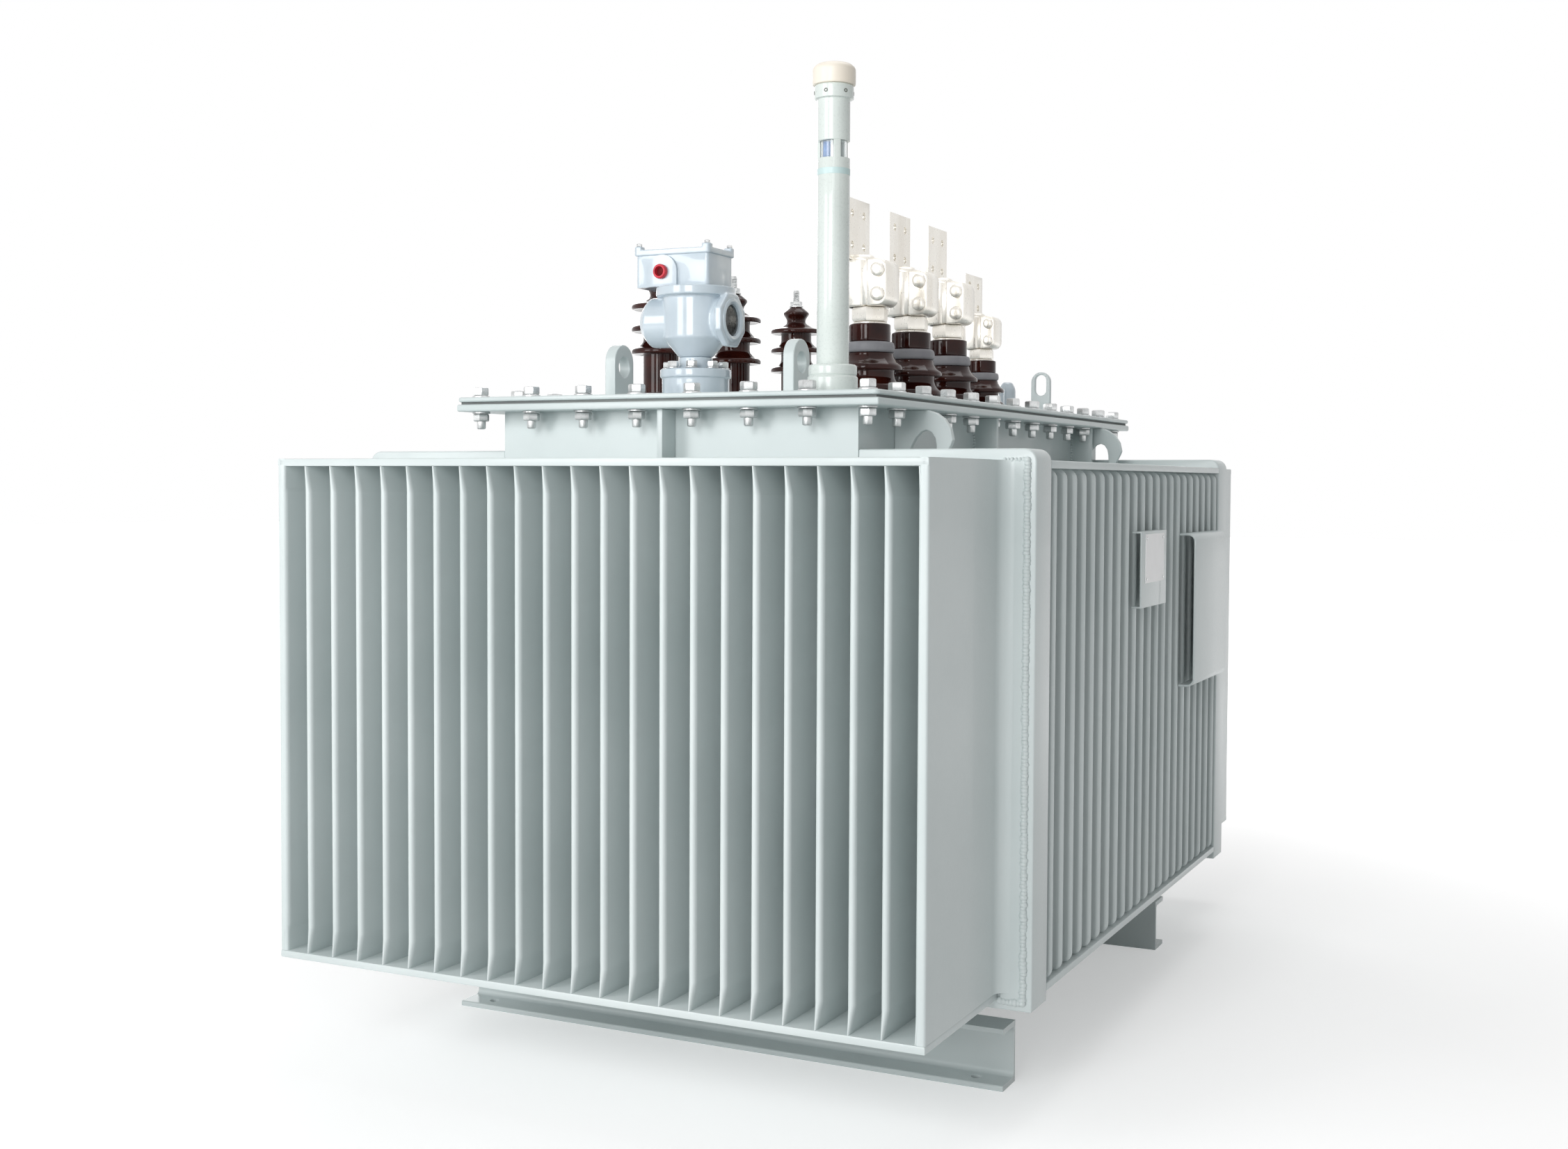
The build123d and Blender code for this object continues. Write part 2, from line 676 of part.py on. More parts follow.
with BuildPart() as relay_lid:
    lid_width = relay_box_width + 2 * relay_box_lid_overhang
    lid_depth = relay_box_depth + 2 * relay_box_lid_overhang
    with Locations((box_x, relay_y, relay_lid_bottom)):
        Box(lid_width, lid_depth, relay_box_lid, align=STAND)
    with Locations((box_x, relay_y, relay_lid_bottom + relay_box_lid)):
        with GridLocations(lid_width - relay_lid_boss, lid_depth - relay_lid_boss, 2, 2):
            Box(relay_lid_boss, relay_lid_boss, relay_lid_boss_rise, align=STAND)
    fillet(relay_lid.edges().filter_by(Axis.Z).group_by(SortBy.LENGTH)[-1], radius=relay_box_radius)
save(relay_lid.part, "relay_box_lid")

with BuildPart() as relay_cable_plug:
    plug_z = relay_box_bottom + relay_pad_height
    pad_face = upright_plane(box_x + relay_pad_place, box_front_y - relay_pad_rise, plug_z)
    with BuildSketch(pad_face):
        Circle(plug_radius)
    extrude(amount=plug_length)
    with BuildSketch(pad_face.offset(plug_length)):
        Circle(plug_bore_radius)
    extrude(amount=-plug_bore_depth, mode=Mode.SUBTRACT)
save(relay_cable_plug.part, "relay_cable_plug")

# Oil level gauge: base, tube with guard bars round a glass, head and cap, one above the other
gauge_flange_bottom = lid_top + gauge_ring_height
gauge_tube_bottom = gauge_flange_bottom + gauge_flange_height
gauge_glass_bottom = gauge_tube_bottom + gauge_tube_length
gauge_head_bottom = gauge_glass_bottom + gauge_glass_height
gauge_collar_bottom = gauge_head_bottom + gauge_head_height
gauge_cap_bottom = gauge_collar_bottom + gauge_collar_height

with BuildPart() as gauge_base:
    with Locations((gauge_x, gauge_y, lid_top)):
        Cylinder(gauge_ring_radius, gauge_ring_height, align=STAND)
    with Locations((gauge_x, gauge_y, gauge_flange_bottom)):
        Cylinder(gauge_flange_radius, gauge_flange_height, align=STAND)
save(gauge_base.part, "gauge_base")

with BuildPart() as gauge_tube:
    with Locations((gauge_x, gauge_y, gauge_tube_bottom)):
        Cylinder(gauge_tube_radius, gauge_tube_length, align=STAND)
    with BuildSketch(Plane(origin=(gauge_x, gauge_y, gauge_glass_bottom))):
        with PolarLocations(0, gauge_bar_count, start_angle=gauge_bar_turn):
            Rectangle(gauge_tube_radius, gauge_bar_width, align=(Align.MIN, Align.CENTER))
        Circle(gauge_tube_radius, mode=Mode.INTERSECT)
        Circle(gauge_glass_radius + gauge_bar_clearance, mode=Mode.SUBTRACT)
    extrude(amount=gauge_glass_height)
save(gauge_tube.part, "gauge_tube")

with BuildPart() as gauge_glass:
    with Locations((gauge_x, gauge_y, gauge_glass_bottom)):
        Cylinder(gauge_glass_radius, gauge_glass_height, align=STAND)
save(gauge_glass.part, "gauge_glass")

with BuildPart() as gauge_head:
    with Locations((gauge_x, gauge_y, gauge_head_bottom)):
        Cylinder(gauge_tube_radius, gauge_head_height, align=STAND)
    with Locations((gauge_x, gauge_y, gauge_collar_bottom)):
        Cylinder(gauge_collar_radius, gauge_collar_height, align=STAND)
save(gauge_head.part, "gauge_head")

with BuildPart() as gauge_cap:
    with Locations((gauge_x, gauge_y, gauge_cap_bottom)):
        Cylinder(gauge_cap_radius, gauge_cap_height, align=STAND)
    fillet(gauge_cap.edges().sort_by(Axis.Z)[-1], radius=gauge_cap_round)
save(gauge_cap.part, "gauge_cap")

# Holder of the rating plate, standing off the fin tips on its top and bottom edges
holder_face_x = side_tip_x + holder_standoff
with BuildPart() as rating_plate_holder:
    with Locations((holder_face_x, holder_place_y, holder_bottom)):
        Box(holder_sheet, holder_width, holder_height, align=(Align.MIN, Align.CENTER, Align.MIN))
    with Locations((side_tip_x, holder_place_y, holder_bottom)):
        Box(holder_standoff, holder_width, holder_sheet, align=(Align.MIN, Align.CENTER, Align.MIN))
    with Locations((side_tip_x, holder_place_y, holder_bottom + holder_height)):
        Box(holder_standoff, holder_width, holder_sheet, align=(Align.MIN, Align.CENTER, Align.MAX))
save(rating_plate_holder.part, "rating_plate_holder")

with BuildPart() as rating_plate:
    plate_bottom = holder_bottom + holder_height - plate_top_margin - plate_height
    with Locations((holder_face_x + holder_sheet, holder_place_y, plate_bottom)):
        Box(plate_thickness, plate_width, plate_height, align=(Align.MIN, Align.CENTER, Align.MIN))
save(rating_plate.part, "rating_plate")

# Bent sheet bracket on the right cooling wall, open towards the front and the rear
with BuildPart() as side_bracket:
    bracket_end = Plane.XZ.offset(-bracket_place_y - bracket_width / 2)
    outer_x = side_tip_x + bracket_standoff
    bracket_top = bracket_bottom + bracket_height
    with BuildSketch(bracket_end):
        with BuildLine():
            FilletPolyline(
                (side_tip_x, bracket_bottom),
                (outer_x, bracket_bottom),
                (outer_x, bracket_top),
                (side_tip_x, bracket_top),
                radius=bracket_bend_radius,
            )
            offset(amount=-bracket_sheet, side=Side.RIGHT)
        make_face()
    extrude(amount=bracket_width)
save(side_bracket.part, "side_bracket")
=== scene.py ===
"""Looks of an oil filled power transformer: welded tank, finned walls, terminals, relay and gauge."""
import logging
import math
import random
from dataclasses import dataclass
from enum import Enum
from typing import Callable, Sequence

import bpy
from mathutils import Matrix, Vector


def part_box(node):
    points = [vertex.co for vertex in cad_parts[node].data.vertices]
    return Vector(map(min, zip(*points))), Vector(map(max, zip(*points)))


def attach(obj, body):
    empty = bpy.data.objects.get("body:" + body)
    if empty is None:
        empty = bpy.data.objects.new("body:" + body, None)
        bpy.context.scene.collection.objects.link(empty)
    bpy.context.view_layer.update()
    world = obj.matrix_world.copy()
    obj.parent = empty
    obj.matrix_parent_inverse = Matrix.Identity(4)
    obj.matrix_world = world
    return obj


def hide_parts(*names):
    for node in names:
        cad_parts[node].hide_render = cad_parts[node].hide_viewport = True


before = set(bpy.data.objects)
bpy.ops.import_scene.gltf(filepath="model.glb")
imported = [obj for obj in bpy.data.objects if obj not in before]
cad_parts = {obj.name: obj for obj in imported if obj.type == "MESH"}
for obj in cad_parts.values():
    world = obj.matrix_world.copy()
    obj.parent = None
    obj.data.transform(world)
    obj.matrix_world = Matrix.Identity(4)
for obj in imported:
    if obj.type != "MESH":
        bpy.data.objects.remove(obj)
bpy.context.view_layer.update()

LOG = logging.getLogger("transformer")
BODY = "root"
TINY = 1e-5
ALONG = 0.9  # a direction with more of an axis than this runs along it
FLAT_ANGLE = 0.6  # faces that turn less than this, in degrees, count as one flat face
LEG_SHARE = 0.48  # largest share of a leg that the rounding of its corner takes
NOISE_RANGE = (0.3, 0.7)  # where nearly all values of a noise lie

Piece = bpy.types.Object
Socket = bpy.types.NodeSocket
Point = tuple[float, float]
Profile = Sequence[Point]
Triple = tuple[float, float, float]
Color = Triple
Test = Callable[[Vector, Vector], bool]


class Element(Enum):
    """Kind of mesh element that a selection works on."""

    VERT = (True, False, False)
    EDGE = (False, True, False)
    FACE = (False, False, True)


class Direction(Enum):
    """Quarter turn that takes a model facing the front end to one side of the tank."""

    FRONT = 0.0
    RIGHT = 90.0
    REAR = 180.0
    LEFT = -90.0


class Shading(Enum):
    """Largest turn between two faces, in degrees, that is shaded smooth."""

    FLAT_PLATE = 20.0
    PLAIN = 35.0
    CURVED = 50.0
    BEAD = 60.0
    CASTING = 80.0


# Bench tools: what a modeller does by hand, as short functions


def deselect() -> None:
    """Leave edit mode and deselect everything."""
    if bpy.context.object is not None and bpy.context.object.mode != "OBJECT":
        bpy.ops.object.mode_set(mode="OBJECT")
    bpy.ops.object.select_all(action="DESELECT")


def activate(piece: Piece) -> None:
    """Make one piece the only selected and the active one.

    Args:
        piece: the piece to work on next.
    """
    deselect()
    piece.select_set(True)
    bpy.context.view_layer.objects.active = piece


def apply_place(piece: Piece) -> Piece:
    """Put a piece's place, turn and scale into its mesh.

    Args:
        piece: the piece to settle.

    Returns:
        The same piece.
    """
    activate(piece)
    bpy.ops.object.transform_apply(location=True, rotation=True, scale=True)
    return piece


def edit_all(piece: Piece) -> None:
    """Enter edit mode on a piece with its whole mesh selected.

    Args:
        piece: the piece to edit.
    """
    activate(piece)
    bpy.ops.object.mode_set(mode="EDIT")
    bpy.ops.mesh.select_all(action="SELECT")


def done() -> None:
    """Go back to object mode."""
    bpy.ops.object.mode_set(mode="OBJECT")


def pick(piece: Piece, kind: Element, test: Test) -> None:
    """Select mesh elements by their place and enter edit mode.

    Args:
        piece: the piece whose mesh is searched.
        kind: vertices, edges or faces.
        test: takes the element's middle and its direction or normal, and says whether to select it.
    """
    activate(piece)
    mesh = piece.data
    for group in (mesh.vertices, mesh.edges, mesh.polygons):
        group.foreach_set("select", [False] * len(group))
    if kind is Element.VERT:
        for vertex in mesh.vertices:
            vertex.select = test(vertex.co, vertex.normal)
    elif kind is Element.EDGE:
        for edge in mesh.edges:
            start, end = (mesh.vertices[i].co for i in edge.vertices)
            edge.select = test((start + end) / 2, (end - start).normalized())
    else:
        for face in mesh.polygons:
            face.select = test(face.center, face.normal)
    bpy.context.tool_settings.mesh_select_mode = kind.value
    bpy.ops.object.mode_set(mode="EDIT")


def bevel(piece: Piece, kind: Element, test: Test, width: float, steps: int) -> None:
    """Round the edges that pass a test, or those round the faces that pass it.

    Args:
        piece: the piece to work on.
        kind: edges or faces.
        test: as in pick.
        width: how far the rounding reaches from the edge.
        steps: segments of the rounding.
    """
    pick(piece, kind, test)
    bpy.ops.mesh.bevel(offset=width, segments=steps, affect="EDGES")
    done()


def cut(piece: Piece, at: Triple, normal: Triple) -> None:
    """Cut new edges into a whole mesh along a plane.

    Args:
        piece: the piece to cut; nothing is taken away.
        at: a point of the plane.
        normal: the plane's normal.
    """
    edit_all(piece)
    bpy.ops.mesh.bisect(plane_co=at, plane_no=normal)
    done()


def block(low: Vector, high: Vector) -> Piece:
    """Start a piece as a box between two corners.

    Args:
        low: corner with the least x, y and z.
        high: corner with the greatest.

    Returns:
        The box with its place in its mesh.
    """
    deselect()
    bpy.ops.mesh.primitive_cube_add(size=1.0, location=(Vector(low) + Vector(high)) / 2)
    piece = bpy.context.object
    piece.scale = Vector(high) - Vector(low)
    return apply_place(piece)


def prism(sides: int, radius: float, height: float, base: Vector) -> Piece:
    """Start a piece as an upright round or many sided bar.

    Args:
        sides: number of sides.
        radius: radius to the corners.
        height: length of the bar.
        base: middle of its lower end.

    Returns:
        The bar with its place in its mesh.
    """
    deselect()
    middle = (0, 0, height / 2)
    bpy.ops.mesh.primitive_cylinder_add(vertices=sides, radius=radius, depth=height, location=middle)
    piece = apply_place(bpy.context.object)
    piece.matrix_world = Matrix.Translation(base)
    return apply_place(piece)


def soften(piece: Piece, width: float, steps: int = 2, angle: float = 40.0) -> Piece:
    """Round every edge that is sharper than an angle.

    Args:
        piece: the piece to soften.
        width: how far the rounding reaches from the edge.
        steps: segments of the rounding.
        angle: edges with a smaller turn, in degrees, stay as they are.

    Returns:
        The same piece.
    """
    activate(piece)
    rounding = piece.modifiers.new("rounding", "BEVEL")
    rounding.width = width
    rounding.segments = steps
    rounding.limit_method = "ANGLE"
    rounding.angle_limit = math.radians(angle)
    bpy.ops.object.modifier_apply(modifier=rounding.name)
    return piece


def rounded(profile: Profile, radius: float, steps: int = 4) -> list[Point]:
    """Round the inner corners of an open profile.

    Args:
        profile: radius and height pairs.
        radius: how far the rounding reaches along each leg.
        steps: points of each rounded corner, less one.

    Returns:
        The profile with a smooth curve in place of each corner.
    """
    points = [Vector(point) for point in profile]
    result = [tuple(points[0])]
    for before, corner, after in zip(points, points[1:], points[2:]):
        start, end = (
            corner + (other - corner) * min(LEG_SHARE, radius / max((other - corner).length, TINY))
            for other in (before, after)
        )
        for i in range(steps + 1):
            t = i / steps
            result.append(tuple(start * (1 - t) ** 2 + corner * 2 * t * (1 - t) + end * t**2))
    result.append(tuple(points[-1]))
    return result


def scaled(profile: Profile, size: float) -> list[Point]:
    """Scale a profile about its origin."""
    return [(x * size, z * size) for x, z in profile]


def trace(line: Profile, y: float = 0.0) -> Piece:
    """Draw an open line, point by point.

    Args:
        line: x and z pairs from one end to the other.
        y: the plane that the line lies on.

    Returns:
        The line, in edit mode and wholly selected.
    """
    deselect()
    bpy.ops.mesh.primitive_plane_add(size=0.01)
    piece = bpy.context.object
    bpy.context.tool_settings.mesh_select_mode = Element.VERT.value
    edit_all(piece)
    bpy.ops.mesh.merge(type="CENTER")
    x, z = line[0]
    bpy.ops.transform.translate(value=(x, y, z))
    for (x0, z0), (x1, z1) in zip(line, line[1:]):
        bpy.ops.mesh.extrude_vertices_move(TRANSFORM_OT_translate={"value": (x1 - x0, 0, z1 - z0)})
    bpy.ops.mesh.select_all(action="SELECT")
    return piece


def set_down(piece: Piece, base: Vector) -> Piece:
    """Point a new mesh's normals outwards, leave edit mode and move the piece to its base.

    Args:
        piece: the piece, in edit mode.
        base: where its origin goes.

    Returns:
        The same piece.
    """
    bpy.ops.mesh.select_all(action="SELECT")
    bpy.ops.mesh.normals_make_consistent(inside=False)
    done()
    piece.location = base
    return apply_place(piece)


def lathe(profile: Profile, base: Vector, sides: int = 48) -> Piece:
    """Turn a profile about an upright axis.

    Args:
        profile: radius and height pairs, drawn from one end to the other.
        base: the point on the axis that heights are measured from.
        sides: steps of the turn.

    Returns:
        The turned piece.
    """
    piece = trace(profile)
    bpy.ops.mesh.spin(steps=sides, angle=2 * math.pi, center=(0, 0, 0), axis=(0, 0, 1))
    bpy.ops.mesh.select_all(action="SELECT")
    bpy.ops.mesh.remove_doubles(threshold=TINY)
    return set_down(piece, base)


def plate(outline: Profile, thickness: float) -> Piece:
    """Cut an upright plate to an outline.

    Args:
        outline: x and z pairs round the plate.
        thickness: size along y, half to each side of y = 0.

    Returns:
        The plate.
    """
    piece = trace(outline, -thickness / 2)
    bpy.ops.mesh.edge_face_add()
    bpy.ops.mesh.extrude_region_move(TRANSFORM_OT_translate={"value": (0, thickness, 0)})
    return set_down(piece, Vector())


def turned(piece: Piece, pivot: Vector, axis: str) -> Piece:
    """Give a piece a quarter turn about a point.

    Args:
        piece: the piece to turn.
        pivot: the point that stays.
        axis: X, Y or Z.

    Returns:
        The same piece, with the turn in its mesh.
    """
    about = Matrix.Translation(pivot)
    piece.matrix_world = about @ quarter(axis) @ about.inverted()
    return apply_place(piece)


def column(outline: Profile, height: float) -> Piece:
    """Cut an upright bar to an outline of x and -y pairs, with its middle on z = 0."""
    return turned(plate(outline, height), Vector(), "X")


def join(pieces: Sequence[Piece]) -> Piece:
    """Join pieces into one mesh at the origin.

    Args:
        pieces: what is joined; the first one takes in the others.

    Returns:
        The joined piece.
    """
    deselect()
    for piece in pieces:
        piece.select_set(True)
    bpy.context.view_layer.objects.active = pieces[0]
    if len(pieces) > 1:
        bpy.ops.object.join()
    return apply_place(bpy.context.view_layer.objects.active)


def repeat(model: Piece, places: Sequence[Matrix]) -> Piece:
    """Copy a model to each place, every copy with its own mesh, and join the copies.

    Args:
        model: the finished model at the origin; it is used up.
        places: one matrix for each copy.

    Returns:
        One piece with all copies.
    """
    copies = []
    for place in places:
        copy = model.copy()
        copy.data = model.data.copy()
        bpy.context.collection.objects.link(copy)
        copy.matrix_world = place
        copies.append(copy)
    bpy.data.objects.remove(model)
    return join(copies)


def copy_of(node: str) -> Piece:
    """Copy a solid of the frame as one closed mesh whose flat faces are whole.

    Args:
        node: the solid's name.

    Returns:
        The copy, where the solid stands.
    """
    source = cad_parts[node]
    piece = bpy.data.objects.new(f"{node}_copy", source.data.copy())
    bpy.context.collection.objects.link(piece)
    piece.matrix_world = source.matrix_world
    apply_place(piece)
    bpy.ops.mesh.customdata_custom_splitnormals_clear()
    edit_all(piece)
    bpy.ops.mesh.remove_doubles(threshold=TINY)
    bpy.ops.mesh.dissolve_limited(angle_limit=math.radians(FLAT_ANGLE))
    done()
    return piece


def foot_of(node: str) -> Vector:
    """Middle of the lower face of a solid's box."""
    low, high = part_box(node)
    return Vector(((low.x + high.x) / 2, (low.y + high.y) / 2, low.z))


def shift(x: float = 0.0, y: float = 0.0, z: float = 0.0) -> Matrix:
    """Matrix of a plain move."""
    return Matrix.Translation((x, y, z))


def spun(degrees: float) -> Matrix:
    """Matrix of a turn about the upright axis."""
    return Matrix.Rotation(math.radians(degrees), 4, "Z")


def quarter(axis: str) -> Matrix:
    """Matrix of a quarter turn about an axis."""
    return Matrix.Rotation(math.pi / 2, 4, axis)


def ring_angles(count: int, first: float) -> list[float]:
    """Angles of an even ring, in degrees, from the first one on."""
    return [first + i * 360 / count for i in range(count)]


# Finishes


class NodeBench:
    """Node tree of one material, with the few moves that the finishes share."""

    def __init__(self, name: str) -> None:
        """Start a material with a principled shader that reads object coordinates.

        Args:
            name: the material's name.
        """
        self.material = bpy.data.materials.new(name)
        self.material.use_nodes = True
        self.tree = self.material.node_tree
        self.shader = self.tree.nodes["Principled BSDF"]
        self.place = self.add("TexCoord").outputs["Object"]

    def add(self, kind: str, **values: object) -> bpy.types.Node:
        """Add a node and set its constant inputs.

        Args:
            kind: the node's type, without its prefix.
            values: inputs by name; underscores stand for spaces.

        Returns:
            The new node.
        """
        node = self.tree.nodes.new(f"ShaderNode{kind}")
        self.set(node, **values)
        return node

    @staticmethod
    def set(node: bpy.types.Node, **values: object) -> None:
        """Set constant inputs of a node; underscores stand for spaces."""
        for name, value in values.items():
            node.inputs[name.replace("_", " ")].default_value = value

    def feed(self, source: Socket, name: str) -> None:
        """Link a socket to an input of the shader."""
        self.tree.links.new(source, self.shader.inputs[name])

    def noise(self, scale: float, detail: float = 3.0, stretch: Triple = (1, 1, 1)) -> Socket:
        """Noise on object coordinates.

        Args:
            scale: grains to a metre.
            detail: octaves.
            stretch: scale of each axis.

        Returns:
            The noise value socket.
        """
        mapping = self.add("Mapping", Scale=stretch)
        self.tree.links.new(self.place, mapping.inputs["Vector"])
        node = self.add("TexNoise", Scale=scale, Detail=detail)
        self.tree.links.new(mapping.outputs["Vector"], node.inputs["Vector"])
        return node.outputs["Fac"]

    def ramp(self, value: Socket, stops: Sequence[tuple[float, Color]]) -> Socket:
        """Colour ramp over a value.

        Args:
            value: the value to colour.
            stops: position and colour of the two stops.

        Returns:
            The colour socket.
        """
        node = self.add("ValToRGB")
        for element, (position, color) in zip(node.color_ramp.elements, stops):
            element.position = position
            element.color = (*color, 1.0)
        self.tree.links.new(value, node.inputs["Fac"])
        return node.outputs["Color"]

    def between(self, value: Socket, low: float, high: float) -> Socket:
        """Map a noise value to a range.

        Args:
            value: the noise.
            low: least result.
            high: greatest result.

        Returns:
            The mapped value socket.
        """
        start, end = NOISE_RANGE
        node = self.add("MapRange", From_Min=start, From_Max=end, To_Min=low, To_Max=high)
        self.tree.links.new(value, node.inputs["Value"])
        return node.outputs["Result"]

    def bump(self, height: Socket, strength: float, depth: float) -> None:
        """Raise the surface by a height value.

        Args:
            height: the height value.
            strength: how much of the relief shows.
            depth: its depth in metres.
        """
        node = self.add("Bump", Strength=strength, Distance=depth)
        self.tree.links.new(height, node.inputs["Height"])
        self.feed(node.outputs["Normal"], "Normal")


@dataclass(frozen=True)
class Finish:
    """A surface finish: colour in two close tones, gloss range and fine relief."""

    name: str
    slot: str
    tone: Color
    deep_tone: Color
    patch_scale: float = 3.0
    patch_detail: float = 4.0
    patch_stops: tuple[float, float] = (0.34, 0.6)
    gloss: tuple[float, float] = (0.32, 0.46)
    grain_scale: float = 240.0
    grain_detail: float = 2.0
    grain_depth: float = 0.0004
    grain_strength: float = 0.12
    stretch: Triple = (1.0, 1.0, 1.0)
    metallic: float = 0.0
    specular: float = 0.5
    refraction: float = 1.46
    coat: float = 0.0
    coat_roughness: float = 0.04
    transmission: float = 0.0

    def material(self) -> bpy.types.Material:
        """Make the material at its first use.

        Returns:
            The material.
        """
        made = bpy.data.materials.get(self.name)
        if made is not None:
            return made
        bench = NodeBench(self.name)
        patches = bench.noise(self.patch_scale, self.patch_detail, self.stretch)
        stops = list(zip(self.patch_stops, (self.deep_tone, self.tone)))
        bench.feed(bench.ramp(patches, stops), "Base Color")
        grain = bench.noise(self.grain_scale, self.grain_detail, self.stretch)
        bench.feed(bench.between(grain, *self.gloss), "Roughness")
        bench.bump(grain, self.grain_strength, self.grain_depth)
        bench.set(bench.shader, Metallic=self.metallic, Specular_IOR_Level=self.specular, IOR=self.refraction)
        if self.coat:
            bench.set(bench.shader, Coat_Weight=self.coat, Coat_Roughness=self.coat_roughness)
        if self.transmission:
            bench.set(bench.shader, Transmission_Weight=self.transmission)
        return bench.material


GREY_PAINT = Finish("grey_tank_paint", "grey_paint", (0.64, 0.70, 0.70), (0.58, 0.645, 0.645), coat=0.15)
RELAY_PAINT = Finish("blue_grey_relay_paint", "relay_paint", (0.56, 0.64, 0.70), (0.51, 0.59, 0.65),
                     patch_scale=18.0, gloss=(0.16, 0.26), coat=0.6)
GAUGE_PAINT = Finish("green_grey_gauge_enamel", "gauge_paint", (0.69, 0.75, 0.72), (0.65, 0.71, 0.68),
                     patch_scale=14.0, gloss=(0.24, 0.36), coat=0.4)
CREAM_CAP = Finish("cream_cap_enamel", "gauge_cream", (0.88, 0.82, 0.72), (0.85, 0.78, 0.67),
                   patch_scale=16.0, gloss=(0.3, 0.42))
BROWN_GLAZE = Finish("brown_porcelain_glaze", "brown_glaze", (0.042, 0.008, 0.005), (0.020, 0.004, 0.003),
                     patch_scale=22.0, gloss=(0.05, 0.12), grain_scale=90.0, grain_strength=0.04,
                     specular=0.3)
ZINC = Finish("bright_zinc_plate", "zinc_steel", (0.66, 0.67, 0.67), (0.50, 0.51, 0.51),
              patch_scale=60.0, gloss=(0.24, 0.42), grain_scale=900.0, metallic=0.85)
TIN = Finish("tinned_copper", "tinned_metal", (0.92, 0.89, 0.83), (0.83, 0.79, 0.72), patch_scale=26.0,
             gloss=(0.26, 0.44), grain_scale=420.0, stretch=(1.0, 1.0, 0.25), metallic=0.7)
RUBBER = Finish("dark_gasket_rubber", "gasket_rubber", (0.20, 0.215, 0.21), (0.13, 0.14, 0.14),
                gloss=(0.6, 0.8), grain_scale=600.0)
GREY_RUBBER = Finish("grey_gasket_rubber", "grey_gasket", (0.30, 0.30, 0.32), (0.24, 0.24, 0.26),
                     patch_scale=30.0, gloss=(0.45, 0.6), grain_scale=500.0)
GLASS = Finish("clear_gauge_glass", "clear_glass", (0.93, 0.96, 0.96), (0.90, 0.95, 0.95),
               gloss=(0.02, 0.06), grain_strength=0.02, transmission=0.92)
# Sight glass pane: opaque, its dark tones are painted shade of the relay's inside seen through the glass
SHADE_PAINTED_GLASS = Finish("glass_with_painted_shade", "clear_glass", (0.075, 0.08, 0.08), (0.018, 0.02, 0.02),
                    patch_scale=160.0, gloss=(0.08, 0.2), grain_scale=300.0, specular=0.3)
BLUE_FLOAT = Finish("blue_float_enamel", "gauge_paint", (0.20, 0.36, 0.74), (0.15, 0.29, 0.64),
                    patch_scale=40.0, gloss=(0.25, 0.4))
BAND = Finish("pale_cyan_band", "gauge_paint", (0.58, 0.74, 0.74), (0.55, 0.71, 0.71),
              patch_scale=40.0, gloss=(0.3, 0.42))
DARK_SCREW = Finish("blackened_screw_steel", "zinc_steel", (0.16, 0.17, 0.15), (0.11, 0.12, 0.11),
                    patch_scale=90.0, gloss=(0.4, 0.55), grain_scale=900.0)
RED_PLUG = Finish("red_plug_plastic", "red_plastic", (0.62, 0.028, 0.05), (0.50, 0.018, 0.035),
                  patch_scale=80.0, gloss=(0.3, 0.45), grain_scale=700.0)
# Bore of the cable plug: the plug's own red, darkened as painted shade inside the hollow
PLUG_BORE_SHADE = Finish("red_bore_painted_shade", "red_plastic", (0.16, 0.004, 0.008), (0.09, 0.002, 0.004),
                   patch_scale=80.0, gloss=(0.5, 0.7), specular=0.2)
LABEL = Finish("white_label_enamel", "label_plate", (0.93, 0.935, 0.94), (0.90, 0.905, 0.91),
               patch_scale=30.0, gloss=(0.28, 0.4), grain_scale=800.0)


def dress(
    piece: Piece, name: str, finish: Finish, *nodes: str, shading: Shading = Shading.PLAIN
) -> None:
    """Finish a modelled piece and tie it to the frame.

    Args:
        piece: the modelled piece.
        name: its name in the object.
        finish: its surface finish.
        nodes: solids of the frame that it stands for.
        shading: which of its edges are shaded smooth.
    """
    apply_place(piece)
    bpy.ops.object.shade_smooth_by_angle(angle=math.radians(shading.value))
    piece.name = name
    piece.data.name = name
    piece.data.materials.clear()
    piece.data.materials.append(finish.material())
    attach(piece, BODY)
    if nodes:
        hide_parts(*nodes)
    LOG.info("%s: %d faces, %s", name, len(piece.data.polygons), finish.name)


def dress_copy(
    node: str, name: str, finish: Finish, width: float, steps: int = 2, shading: Shading = Shading.PLAIN
) -> None:
    """Dress a copy of a solid with softened edges in the solid's place.

    Args:
        node: the solid of the frame.
        name: the name of the new piece.
        finish: its surface finish.
        width: how far the rounding of its edges reaches.
        steps: segments of the rounding.
        shading: which of its edges are shaded smooth.
    """
    dress(soften(copy_of(node), width, steps), name, finish, node, shading=shading)


def paint_node(node: str, finish: Finish) -> None:
    """Give a solid that is kept as it is a better material.

    Args:
        node: the solid's name.
        finish: its surface finish.
    """
    for material_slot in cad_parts[node].material_slots:
        material_slot.material = finish.material()
    LOG.info("%s: kept, %s", node, finish.name)


# Small ironmongery


